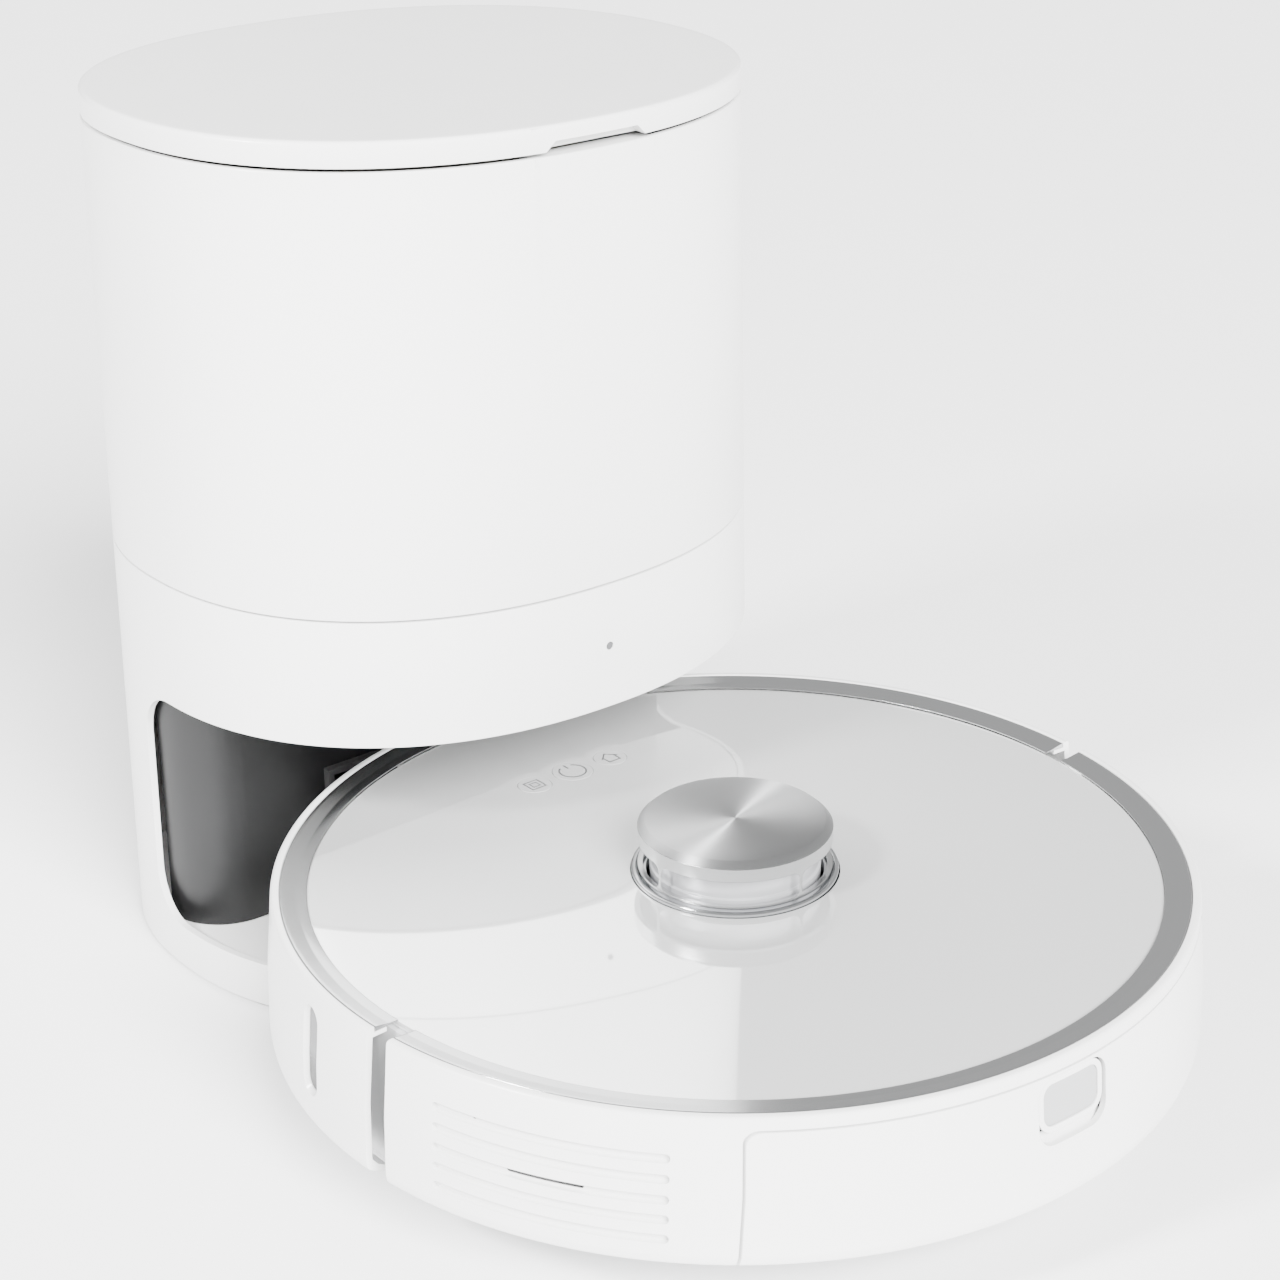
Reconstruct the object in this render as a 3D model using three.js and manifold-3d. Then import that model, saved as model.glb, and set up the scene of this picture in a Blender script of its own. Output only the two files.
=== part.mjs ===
// A robot vacuum parked in its self-emptying dock.
// Millimetres, +Z up. The robot faces +Y, into the dock; the dock stands behind the robot's front half.
// The origin is on the floor, in the middle of the whole object's length and width.

import * as THREE from "three";
import { mergeVertices } from "three/addons/utils/BufferGeometryUtils.js";
import Module from "manifold-3d";

const wasm = await Module();
wasm.setup();

// ---------------------------------------------------------------- driving dimensions

const GAP = 0.3; // between neighbours that touch on the real object

const ROBOT_RADIUS = 175;
const ROBOT_SEGMENTS = 60;
const WALL_WIDEST_Z = 28.5;
const WALL_TOP_Z = 80.6;
const WALL_THICKNESS = 2.4;
const LIP_RADIUS = 165.5; // inner edge of the wall's turned-in bottom
const LIP_Z = 21.8;
// Where the side wall's outer face passes, as [radius, height], from its widest line to its top edge.
const WALL_STATIONS = [
  [ROBOT_RADIUS, WALL_WIDEST_Z],
  [ROBOT_RADIUS - 0.7, 52],
  [ROBOT_RADIUS - 3.1, 78.6],
];
const PLATE_RADIUS = 159;
const PLATE_TOP_Z = 78.3;
const PLATE_BOTTOM_Z = 76.3;
const TRIM_OUTER_RADIUS = 168.3;
const CHASSIS_RADIUS = 161;
const CHASSIS_WALL = 2.5;
const CHASSIS_BOTTOM_Z = 12;
const CHASSIS_FLOOR_Z = 15;
const CHASSIS_FLAT_RADIUS = 143.5; // where the bottom starts to rise towards the side wall
const CHASSIS_EDGE_Z = 20;
const CHASSIS_FRONT_Z = 49.5; // the tray's wall is lower in front, under the dust duct
const BUMPER_END_Y = -10;
const BODY_START_Y = -20.2;

const TURRET_RADIUS = 36.4;
const TURRET_TOP_Z = 99;
const TURRET_BAND_Z = 91.4;
const TURRET_FLAT_RADIUS = 33.7;
const TURRET_SHOULDER_Z = 96.6;
const FLANGE_RADIUS = 38.8;
const FLANGE_TOP_Z = 79.9;
const TURRET_PILLARS = 4;
const ROTOR_RADIUS = 32;

const BUTTON_X = 3.4;
const BUTTON_Y = 102.8;
const POWER_BUTTON_RADIUS = 8.2;
const SIDE_BUTTON_RADIUS = 6.8;
const SIDE_BUTTON_PITCH = 19;
const BUTTON_PROUD = 0.4;

const BIN_PANEL_TOP_Z = 75.8;
const BIN_PANEL_TOP_HALF_WIDTH = 110.6;
const BIN_PANEL_FLARE = 0.06; // the panel's half width grows by this much per mm downwards
const BIN_PANEL_CORNER = 5;
const BIN_HALF_WIDTH = 78;
const BIN_FRONT_Y = -54;
const BIN_REAR_RADIUS = 169;
const BIN_BOTTOM_Z = 27;
const BIN_TOP_Z = 72;
const BIN_WALL = 2;
const RELEASE = { x: -1.3, halfWidth: 15.2, bottom: 53.2, top: 73.3, corner: 6.5 };
const RELEASE_RECESS = { halfWidth: 16.1, bottom: 48.9, top: 74.4, corner: 7.5 };
const FILTER_PLEATS = 8;

const SLOT_WINDOW = { angle: 171.1, halfWidth: 3.1, bottom: 39, top: 70.6 };

const VENT_ANGLE = -152; // middle of the exhaust slots, degrees from +X
const VENT_HALF_ANGLE = 14;
const VENT_HEIGHTS = [35.5, 42.9, 50.3, 57.8, 65.2];
const VENT_HEIGHT = 3.2;
const VENT_DEPTH = 1.5;
const VENT_OPEN_HALF_ANGLE = 4.5; // the middle slot's short open stretch

const WHEEL_RADIUS = 34;
const WHEEL_WIDTH = 18;
const WHEEL_X = 117;
const WHEEL_TREADS = 16;
const ARM_X = 96.5;
const ARM_WIDTH = 17;
const ARM_PIVOT = { y: 44, z: 40 };
const CASTER_Y = 128;
const CASTER_TRAIL = 8;
const CASTER_RADIUS = 9;
const CASTER_WELL_RADIUS = 21.2;
const BRUSH_Y = -2;
const BRUSH_Z = 19;
const BRUSH_RADIUS = 17;
const BRUSH_HALF_LENGTH = 80;
const SIDE_BRUSH = { x: 112, y: 72 };
const SIDE_BRUSH_REACH = 46;
const FAN = { x: -106, y: -70 };
const CONTACT = { x: 32, y: 134 }; // charging contacts under the robot
const PORT_X = -50; // the dust port that the dock sucks through
const PORT_Z = 60;
const PORT_WIDTH = 22;
const PORT_HEIGHT = 18;

const DOCK_FROM_ROBOT = 187.6; // dock centre from robot centre
const DOCK_HALF_WIDTH = 126.6; // at the lid
const DOCK_HALF_DEPTH = 112.2;
const DOCK_POWER = 2.21; // exponent of the superellipse plan
const DOCK_SEGMENTS = 48;
const DOCK_SPREAD = 0.011; // the walls lean out by this much per mm downwards
const DOCK_WALL = 2.8;
const LID_LINE_Z = 337;
const LID_TOP_Z = 347.2;
const SEAM_Z = 169.3;
const OVERHANG_Z = 118.8;
const DOCK_BOTTOM_Z = 1.5;
const RIM_TOP_Z = 20;
const LEDGE_Z = 15;
const RAMP_Z = 4.5;
const POCKET_RADIUS = 178;
const RECESS_BACK_Y = -6.6; // dock frame
const RECESS_SIDE_Y = 18.4; // dock frame, front edge of the side columns
const RECESS_CORNER = 20;
const LED_Z = 143.9;
const LED_RADIUS = 1.5;
const HINGE = { y: 111.6, z: 337.1 };
const HINGE_PIN_RADIUS = 1.3;
const KNUCKLE_RADIUS = 3;
const NOTCH_HALF_WIDTH = 18.5; // finger notch under the lid's front edge, at its top
const NOTCH_HEIGHT = 4;
const NOTCH_DEPTH = 8;
const GRILLE = { halfWidth: 45, bottom: 35, top: 85 };
const INLET = { x0: 60, x1: 84, bottom: 14, top: 32 };
const FOOT = { x: 62, y: 78, radius: 9 };

const DUCT_Y = 74;
const DUCT_RADIUS = 14;
const DUCT_TOP_Z = 262;
const BLOWER = { x: 50, y: 55, radius: 38, bottom: 34, top: 108 };
const COLLAR_Y = 54;
const BAG = { halfWidth: 86, frontY: -70, bottom: 178, top: 318, corner: 26 };

const DOCK_FOOT_HALF_DEPTH = DOCK_HALF_DEPTH + DOCK_SPREAD * (LID_LINE_Z - DOCK_BOTTOM_Z);
const TOTAL_LENGTH = ROBOT_RADIUS + DOCK_FROM_ROBOT + DOCK_FOOT_HALF_DEPTH;
const ROBOT_Y = ROBOT_RADIUS - TOTAL_LENGTH / 2;
const DOCK_Y = ROBOT_Y + DOCK_FROM_ROBOT;

// ---------------------------------------------------------------- materials

const look = (color, roughness, metalness = 0) =>
  new THREE.MeshStandardMaterial({ color, roughness, metalness });
const WHITE = look("#eeeeec", 0.35);
const GLOSS_WHITE = look("#e9eaea", 0.06);
const SATIN_GREY = look("#bfc0c0", 0.45);
const SILVER = look("#a9abad", 0.25, 0.9);
const STEEL = look("#9fa2a4", 0.3, 1);
const BLACK = look("#26272a", 0.25);
const RUBBER = look("#2b2c2e", 0.8);
const DARK_GREY = look("#55585c", 0.5);
const BOARD_GREEN = look("#1f6b3f", 0.5);
const PAPER = look("#d8d3c6", 0.9);
const BRASS = look("#c9a24e", 0.3, 1);
const BRISTLE = look("#3c5a78", 0.8);

// ---------------------------------------------------------------- solids

const radians = THREE.MathUtils.degToRad;
const point = (x, y) => new THREE.Vector2(x, y);

function solid(geometry) {
  const bare = geometry.index ? geometry.toNonIndexed() : geometry.clone();
  bare.deleteAttribute("normal");
  bare.deleteAttribute("uv");
  const merged = mergeVertices(bare, 1e-3);
  const corners = [];
  for (let i = 0; i < merged.index.count; i += 3) {
    const [a, b, c] = [0, 1, 2].map((k) => merged.index.getX(i + k));
    if (a !== b && b !== c && c !== a) corners.push(a, b, c);
  }
  return new wasm.Manifold(
    new wasm.Mesh({
      numProp: 3,
      vertProperties: merged.attributes.position.array,
      triVerts: new Uint32Array(corners),
    }),
  );
}

function geometryOf(body) {
  const mesh = body.getMesh();
  const geometry = new THREE.BufferGeometry();
  geometry.setAttribute("position", new THREE.BufferAttribute(mesh.vertProperties, 3));
  geometry.setIndex(new THREE.BufferAttribute(mesh.triVerts, 1));
  geometry.computeVertexNormals();
  return geometry;
}

function add(group, name, body, material) {
  const mesh = new THREE.Mesh(geometryOf(body), material);
  mesh.name = name;
  group.add(mesh);
}

const join = (first, ...others) => others.reduce((whole, next) => whole.add(next), first);
const cut = (first, ...others) => others.reduce((whole, next) => whole.subtract(next), first);
const mirrorX = (body) => body.mirror([1, 0, 0]);

function extrude(shape, depth, steps = 1) {
  return new THREE.ExtrudeGeometry(shape, { depth, steps, bevelEnabled: false, curveSegments: 8 });
}

// Extrusions along the three axes. The outlines are drawn in XY, in YZ and in XZ.
function prismZ(shape, z0, z1) {
  return extrude(shape, z1 - z0).translate(0, 0, z0);
}

function prismX(shape, x0, x1, steps = 1) {
  const turned = new THREE.Matrix4().set(0, 0, 1, x0, 1, 0, 0, 0, 0, 1, 0, 0, 0, 0, 0, 1);
  return extrude(shape, x1 - x0, steps).applyMatrix4(turned);
}

function prismY(shape, y0, y1) {
  const turned = new THREE.Matrix4().set(1, 0, 0, 0, 0, 0, -1, y1, 0, 1, 0, 0, 0, 0, 0, 1);
  return extrude(shape, y1 - y0).applyMatrix4(turned);
}

// A body of revolution about Z, from a closed outline of [radius, height] corners.
function revolve(profile, segments = 24) {
  let area = 0;
  profile.forEach(([r, z], i) => {
    const [nextR, nextZ] = profile[(i + 1) % profile.length];
    area += r * nextZ - nextR * z;
  });
  const ordered = area > 0 ? profile : [...profile].reverse();
  const closed = [...ordered, ordered[0]].map(([r, z]) => point(r, z));
  return solid(new THREE.LatheGeometry(closed, segments).rotateX(Math.PI / 2));
}

function disc(x, y, radius, z0, z1, segments = 24) {
  const geometry = new THREE.CylinderGeometry(radius, radius, z1 - z0, segments);
  return solid(geometry.rotateX(Math.PI / 2).translate(x, y, (z0 + z1) / 2));
}

function rodX(y, z, radius, x0, x1, segments = 20) {
  const geometry = new THREE.CylinderGeometry(radius, radius, x1 - x0, segments);
  return solid(geometry.rotateZ(Math.PI / 2).translate((x0 + x1) / 2, y, z));
}

function box(x0, x1, y0, y1, z0, z1) {
  const geometry = new THREE.BoxGeometry(x1 - x0, y1 - y0, z1 - z0);
  return solid(geometry.translate((x0 + x1) / 2, (y0 + y1) / 2, (z0 + z1) / 2));
}

// A rounded rectangle whose corners may be wider than they are tall.
function roundedRectangle(x0, x1, y0, y1, radiusX, radiusY = radiusX) {
  const shape = new THREE.Shape();
  shape.moveTo(x0 + radiusX, y0);
  shape.lineTo(x1 - radiusX, y0);
  shape.absellipse(x1 - radiusX, y0 + radiusY, radiusX, radiusY, -Math.PI / 2, 0);
  shape.absellipse(x1 - radiusX, y1 - radiusY, radiusX, radiusY, 0, Math.PI / 2);
  shape.absellipse(x0 + radiusX, y1 - radiusY, radiusX, radiusY, Math.PI / 2, Math.PI);
  shape.absellipse(x0 + radiusX, y0 + radiusY, radiusX, radiusY, Math.PI, 1.5 * Math.PI);
  return shape;
}

// The dock's plan at the lid, moved inwards by an inset.
function dockOutline(inset = 0) {
  const points = [];
  for (let i = 0; i < DOCK_SEGMENTS; i++) {
    const angle = (2 * Math.PI * i) / DOCK_SEGMENTS;
    const [c, s] = [Math.cos(angle), Math.sin(angle)];
    const x = (DOCK_HALF_WIDTH - inset) * Math.sign(c) * Math.abs(c) ** (2 / DOCK_POWER);
    const y = (DOCK_HALF_DEPTH - inset) * Math.sign(s) * Math.abs(s) ** (2 / DOCK_POWER);
    points.push(point(x, y));
  }
  return points;
}

// A block with the dock's plan, whose walls lean out downwards as the dock's do.
function dockBlock(z0, z1, inset = 0) {
  const geometry = prismZ(new THREE.Shape(dockOutline(inset)), z0, z1);
  const position = geometry.attributes.position;
  for (let i = 0; i < position.count; i++) {
    const spread = DOCK_SPREAD * Math.max(0, LID_LINE_Z - position.getZ(i));
    position.setX(i, position.getX(i) * (1 + spread / (DOCK_HALF_WIDTH - inset)));
    position.setY(i, position.getY(i) * (1 + spread / (DOCK_HALF_DEPTH - inset)));
  }
  return solid(geometry);
}

// ---------------------------------------------------------------- robot: casings

const robot = new THREE.Group();
robot.position.y = ROBOT_Y;

// The side wall's section, from the turned-in lip at the bottom to the flange that carries the silver trim.
function wallRing() {
  const outside = [
    [LIP_RADIUS, LIP_Z],
    [170.5, 24],
    [173.6, 25.6],
    ...WALL_STATIONS,
    [170, WALL_TOP_Z],
    [TRIM_OUTER_RADIUS + GAP, WALL_TOP_Z],
  ];
  const inside = [
    [TRIM_OUTER_RADIUS + GAP, PLATE_TOP_Z],
    [CHASSIS_RADIUS + 2.5, PLATE_TOP_Z],
    [CHASSIS_RADIUS + 2.5, PLATE_TOP_Z - 1.6],
    [169.5, PLATE_TOP_Z - 1.6],
    [ROBOT_RADIUS - 0.7 - WALL_THICKNESS, 52],
    [ROBOT_RADIUS - WALL_THICKNESS, WALL_WIDEST_Z + 1],
    [169.6, 26.6],
    [LIP_RADIUS, LIP_Z + WALL_THICKNESS],
  ];
  return revolve([...outside, ...inside], ROBOT_SEGMENTS);
}

function halfSpace(y0, y1) {
  const reach = ROBOT_RADIUS + 5;
  return box(-reach, reach, y0, y1, 0, 110);
}

function trimRing() {
  const bottom = PLATE_TOP_Z + 0.35;
  const section = [
    [PLATE_RADIUS + GAP, bottom],
    [TRIM_OUTER_RADIUS, bottom],
    [TRIM_OUTER_RADIUS, WALL_TOP_Z - 0.1],
    [166.2, WALL_TOP_Z - 0.5],
    [163, 79.4],
    [PLATE_RADIUS + GAP, bottom + 0.4],
  ];
  return revolve(section, ROBOT_SEGMENTS);
}

// The rear opening that the dustbin's panel fills, seen from behind: round at the top, open at the bottom.
function binWindow(margin) {
  const bottom = LIP_Z - 10;
  const top = BIN_PANEL_TOP_Z + margin;
  const topHalf = BIN_PANEL_TOP_HALF_WIDTH + margin;
  const bottomHalf = topHalf + BIN_PANEL_FLARE * (top - bottom);
  const corner = BIN_PANEL_CORNER;
  const shape = new THREE.Shape();
  shape.moveTo(-bottomHalf, bottom);
  shape.lineTo(bottomHalf, bottom);
  shape.lineTo(topHalf, top - corner);
  shape.quadraticCurveTo(topHalf, top, topHalf - corner, top);
  shape.lineTo(corner - topHalf, top);
  shape.quadraticCurveTo(-topHalf, top, -topHalf, top - corner);
  return solid(prismY(shape, -ROBOT_RADIUS - 5, -100));
}

// One exhaust slot: a band of a ring, cut to length by a prism with round ends along the slot's own radius.
function ventSlot(z, halfAngle, innerRadius) {
  const half = VENT_HEIGHT / 2;
  const ring = revolve(
    [
      [innerRadius, z - half],
      [ROBOT_RADIUS + 3, z - half],
      [ROBOT_RADIUS + 3, z + half],
      [innerRadius, z + half],
    ],
    ROBOT_SEGMENTS,
  );
  const halfWidth = ROBOT_RADIUS * Math.sin(radians(halfAngle));
  const outline = roundedRectangle(-halfWidth, halfWidth, z - half - 0.1, z + half + 0.1, half);
  const ends = solid(prismY(outline, 120, ROBOT_RADIUS + 5));
  return ring.intersect(ends.rotate([0, 0, VENT_ANGLE - 90]));
}

function bodyShell() {
  const rear = wallRing().intersect(halfSpace(-ROBOT_RADIUS - 5, BODY_START_Y));
  const slots = VENT_HEIGHTS.map((z) => ventSlot(z, VENT_HALF_ANGLE, wallRadiusAt(z) - VENT_DEPTH));
  const openSlit = ventSlot(VENT_HEIGHTS[2], VENT_OPEN_HALF_ANGLE, 160);
  return cut(rear, binWindow(GAP), openSlit, ...slots);
}

// Outer radius of the side wall between its widest line and its top.
function wallRadiusAt(z) {
  const next = WALL_STATIONS.findIndex(([, height]) => height >= z);
  const [r0, z0] = WALL_STATIONS[next - 1];
  const [r1, z1] = WALL_STATIONS[next];
  return r0 + ((r1 - r0) * (z - z0)) / (z1 - z0);
}

function slotWindowTool(margin) {
  const shape = roundedRectangle(
    -SLOT_WINDOW.halfWidth - margin,
    SLOT_WINDOW.halfWidth + margin,
    SLOT_WINDOW.bottom - margin,
    SLOT_WINDOW.top + margin,
    SLOT_WINDOW.halfWidth + margin - 0.01,
  );
  return solid(prismY(shape, 160, ROBOT_RADIUS + 5)).rotate([0, 0, SLOT_WINDOW.angle - 90]);
}

function slotWindow() {
  const pane = revolve(
    [
      [170.9, 30],
      [172.9, 30],
      [172.9, 76],
      [170.9, 76],
    ],
    ROBOT_SEGMENTS,
  );
  return pane.intersect(slotWindowTool(-GAP));
}

function portTool(margin, y0, y1) {
  return box(
    PORT_X - PORT_WIDTH / 2 - margin,
    PORT_X + PORT_WIDTH / 2 + margin,
    y0,
    y1,
    PORT_Z - PORT_HEIGHT / 2 - margin,
    PORT_Z + PORT_HEIGHT / 2 + margin,
  );
}

function bumperShell() {
  const front = wallRing().intersect(halfSpace(BUMPER_END_Y, ROBOT_RADIUS + 5));
  return cut(front, slotWindowTool(0), mirrorX(slotWindowTool(0)), portTool(2, 150, 180));
}

function chassis() {
  const wallInner = CHASSIS_RADIUS - CHASSIS_WALL;
  const tray = revolve(
    [
      [0, CHASSIS_BOTTOM_Z],
      [CHASSIS_FLAT_RADIUS, CHASSIS_BOTTOM_Z],
      [CHASSIS_RADIUS, CHASSIS_EDGE_Z],
      [CHASSIS_RADIUS, PLATE_BOTTOM_Z - GAP],
      [wallInner, PLATE_BOTTOM_Z - GAP],
      [wallInner, CHASSIS_EDGE_Z + CHASSIS_WALL],
      [CHASSIS_FLAT_RADIUS - 1, CHASSIS_FLOOR_Z],
      [0, CHASSIS_FLOOR_Z],
    ],
    ROBOT_SEGMENTS,
  );
  const casterWell = revolve([
    [5.4, 33],
    [CASTER_WELL_RADIUS, 33],
    [CASTER_WELL_RADIUS, CHASSIS_BOTTOM_Z],
    [CASTER_WELL_RADIUS + 2.5, CHASSIS_BOTTOM_Z],
    [CASTER_WELL_RADIUS + 2.5, 36],
    [5.4, 36],
  ]).translate([0, CASTER_Y, 0]);
  const low = CHASSIS_BOTTOM_Z - 1;
  const high = CHASSIS_FLOOR_Z + 1;
  const wheelWell = box(86.5, 130, -38, 56, low, high);
  const opened = cut(
    tray,
    disc(0, CASTER_Y, CASTER_WELL_RADIUS + 1, low, high),
    wheelWell,
    mirrorX(wheelWell),
    box(-86, 86, BRUSH_Y - 23, BRUSH_Y + 23, low, high),
    disc(SIDE_BRUSH.x, SIDE_BRUSH.y, 9, low, high),
    box(-116, 116, -ROBOT_RADIUS, -100, BIN_BOTTOM_Z - 2.8, 90),
    box(-110, 110, 95, ROBOT_RADIUS, CHASSIS_FRONT_Z, 90),
  );
  return opened.add(casterWell);
}

function topPlate() {
  const bevel = 0.7;
  const plate = revolve(
    [
      [FLANGE_RADIUS + GAP, PLATE_BOTTOM_Z],
      [PLATE_RADIUS, PLATE_BOTTOM_Z],
      [PLATE_RADIUS, PLATE_TOP_Z - bevel],
      [PLATE_RADIUS - bevel, PLATE_TOP_Z],
      [FLANGE_RADIUS + GAP, PLATE_TOP_Z],
    ],
    ROBOT_SEGMENTS,
  );
  const low = PLATE_BOTTOM_Z - 1;
  const high = PLATE_TOP_Z + 1;
  return cut(
    plate,
    disc(BUTTON_X, BUTTON_Y, POWER_BUTTON_RADIUS + GAP, low, high),
    disc(BUTTON_X - SIDE_BUTTON_PITCH, BUTTON_Y, SIDE_BUTTON_RADIUS + GAP, low, high),
    disc(BUTTON_X + SIDE_BUTTON_PITCH, BUTTON_Y, SIDE_BUTTON_RADIUS + GAP, low, high),
  );
}

function pressButton(x, radius) {
  const top = PLATE_TOP_Z + BUTTON_PROUD;
  const cap = revolve([
    [0, 72],
    [2.5, 72],
    [2.5, PLATE_BOTTOM_Z],
    [radius, PLATE_BOTTOM_Z],
    [radius, top - 0.3],
    [radius - 0.5, top],
    [0, top - 0.2],
  ]);
  return cap.translate([BUTTON_X + x, BUTTON_Y, 0]);
}

add(robot, "robot_chassis", chassis(), DARK_GREY);
add(robot, "robot_body_shell", bodyShell(), WHITE);
add(robot, "bumper_shell", bumperShell(), WHITE);
add(robot, "bumper_trim", trimRing().intersect(halfSpace(BUMPER_END_Y, ROBOT_RADIUS + 5)), SILVER);
add(robot, "robot_rear_trim", trimRing().intersect(halfSpace(-ROBOT_RADIUS - 5, BODY_START_Y)), SILVER);
add(robot, "bumper_window_left", slotWindow(), DARK_GREY);
add(robot, "bumper_window_right", mirrorX(slotWindow()), DARK_GREY);
add(robot, "robot_top_plate", topPlate(), GLOSS_WHITE);
add(robot, "power_button", pressButton(0, POWER_BUTTON_RADIUS), SATIN_GREY);
add(robot, "spot_button", pressButton(-SIDE_BUTTON_PITCH, SIDE_BUTTON_RADIUS), SATIN_GREY);
add(robot, "home_button", pressButton(SIDE_BUTTON_PITCH, SIDE_BUTTON_RADIUS), SATIN_GREY);

// ---------------------------------------------------------------- robot: laser turret

function lidarBase() {
  return revolve(
    [
      [0, 66],
      [FLANGE_RADIUS, 66],
      [FLANGE_RADIUS, FLANGE_TOP_Z - 0.5],
      [FLANGE_RADIUS - 0.5, FLANGE_TOP_Z],
      [FLANGE_RADIUS - 4, FLANGE_TOP_Z],
      [FLANGE_RADIUS - 4, 68.5],
      [0, 68.5],
    ],
    36,
  );
}

function lidarRotor() {
  const drum = revolve(
    [
      [0, 69],
      [7, 69],
      [7, 76],
      [ROTOR_RADIUS - 1, 76],
      [ROTOR_RADIUS, 77],
      [ROTOR_RADIUS, 91.2],
      [ROTOR_RADIUS - 1, 92.2],
      [0, 92.2],
    ],
    28,
  );
  const lens = (x, radius) => {
    const bore = disc(0, 0, radius, 20, ROTOR_RADIUS + 5, 16);
    return bore.rotate([-90, 0, 0]).translate([x, 0, 86]);
  };
  return cut(drum, lens(-11, 5), lens(11, 4));
}

function lidarCage() {
  const wall = 2;
  const foot = FLANGE_TOP_Z + GAP;
  const cap = revolve(
    [
      [0, TURRET_TOP_Z],
      [TURRET_FLAT_RADIUS, TURRET_TOP_Z],
      [TURRET_RADIUS, TURRET_SHOULDER_Z],
      [TURRET_RADIUS, TURRET_BAND_Z],
      [TURRET_RADIUS - wall, TURRET_BAND_Z],
      [TURRET_RADIUS - wall, TURRET_TOP_Z - wall],
      [0, TURRET_TOP_Z - wall],
    ],
    36,
  );
  const ring = revolve(
    [
      [ROTOR_RADIUS + 0.9, foot],
      [TURRET_RADIUS, foot],
      [TURRET_RADIUS, foot + 1.2],
      [ROTOR_RADIUS + 0.9, foot + 1.2],
    ],
    36,
  );
  const pillar = box(TURRET_RADIUS - 1.9, TURRET_RADIUS - 0.3, -0.8, 0.8, foot + 0.5, TURRET_BAND_Z + 1);
  const pillars = [];
  for (let i = 0; i < TURRET_PILLARS; i++) {
    pillars.push(pillar.rotate([0, 0, (360 / TURRET_PILLARS) * i]));
  }
  return join(cap, ring, ...pillars);
}

add(robot, "lidar_base", lidarBase(), STEEL);
add(robot, "lidar_rotor", lidarRotor(), BLACK);
add(robot, "lidar_cage", lidarCage(), STEEL);

// ---------------------------------------------------------------- robot: dustbin

function binBlock(inset, z0, z1) {
  const half = BIN_HALF_WIDTH - inset;
  const block = box(-half, half, -BIN_REAR_RADIUS, BIN_FRONT_Y - inset, z0, z1);
  return block.intersect(disc(0, 0, BIN_REAR_RADIUS - inset, z0, z1, ROBOT_SEGMENTS));
}

function releasePrism({ halfWidth, bottom, top, corner }) {
  const outline = roundedRectangle(RELEASE.x - halfWidth, RELEASE.x + halfWidth, bottom, top, corner);
  return solid(prismY(outline, -ROBOT_RADIUS - 5, -150));
}

function dustbinBody() {
  const lidTop = BIN_TOP_Z - BIN_WALL;
  const buttonPocket = box(-20, 20, -ROBOT_RADIUS, -164, 43, BIN_TOP_Z + 1);
  const inlet = box(-56, 56, BIN_FRONT_Y - 5, BIN_FRONT_Y + 5, 33, 47);
  const port = portTool(-2, BIN_FRONT_Y - 5, BIN_FRONT_Y + 5);
  const suctionWindow = box(-BIN_HALF_WIDTH - 5, -BIN_HALF_WIDTH + 5, -106, -66, 35, 63);
  const pocketWall = box(-22, 22, -BIN_REAR_RADIUS + 1, -162, 41, lidTop - 1).intersect(
    disc(0, 0, BIN_REAR_RADIUS - 1, 41, lidTop - 1, ROBOT_SEGMENTS),
  );
  const hollow = cut(binBlock(BIN_WALL, BIN_BOTTOM_Z + BIN_WALL, BIN_TOP_Z + 1), pocketWall);
  return cut(binBlock(0, BIN_BOTTOM_Z, lidTop - GAP), hollow, inlet, port, suctionWindow, buttonPocket);
}

function dustbinLid() {
  return cut(
    binBlock(0, BIN_TOP_Z - BIN_WALL, BIN_TOP_Z),
    box(-22, 22, -ROBOT_RADIUS, -162, BIN_TOP_Z - 5, BIN_TOP_Z + 1),
  );
}

// The panel, with the ramp under the release button that lets a finger reach below it.
function dustbinPanel() {
  const { halfWidth, bottom } = RELEASE_RECESS;
  const side = new THREE.Shape([
    point(-174.5, bottom - 0.5),
    point(-169.4, RELEASE.bottom - 0.5),
    point(-169.4, bottom - 4.4),
    point(-172.6, bottom - 4.4),
  ]);
  const ramp = solid(prismX(side, RELEASE.x - halfWidth, RELEASE.x + halfWidth));
  const skin = cut(wallRing().intersect(binWindow(-GAP / 2)), releasePrism(RELEASE_RECESS));
  return skin.add(ramp.intersect(disc(0, 0, wallRadiusAt(bottom), bottom - 9, bottom + 9, ROBOT_SEGMENTS)));
}

function releaseButton() {
  const face = revolve(
    [
      [168.6, 40],
      [173.5, 40],
      [171.7, 76],
      [168.6, 76],
    ],
    ROBOT_SEGMENTS * 2,
  );
  return face.intersect(releasePrism(RELEASE));
}

function dustbinFilter() {
  const [y0, y1] = [-108, -64];
  const pitch = (y1 - y0) / FILTER_PLEATS;
  const shape = new THREE.Shape();
  shape.moveTo(-75.5, y0);
  for (let i = 0; i < FILTER_PLEATS; i++) {
    shape.lineTo(-70, y0 + pitch * i);
    shape.lineTo(-66, y0 + pitch * (i + 0.5));
  }
  shape.lineTo(-70, y1);
  shape.lineTo(-75.5, y1);
  return solid(prismZ(shape, 31, 66));
}

add(robot, "dustbin_body", dustbinBody(), DARK_GREY);
add(robot, "dustbin_lid", dustbinLid(), DARK_GREY);
add(robot, "dustbin_panel", dustbinPanel(), WHITE);
add(robot, "dustbin_release_button", releaseButton(), SATIN_GREY);
add(robot, "dustbin_filter", dustbinFilter(), PAPER);

// ---------------------------------------------------------------- robot: inside

function fanHousing() {
  const cup = revolve([
    [0, 20],
    [24, 20],
    [24, 62],
    [22, 62],
    [22, 22],
    [0, 22],
  ]);
  const outlet = box(-40, -10, -7, 7, 26, 40);
  return cut(cup, outlet).translate([FAN.x, FAN.y, 0]);
}

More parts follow.
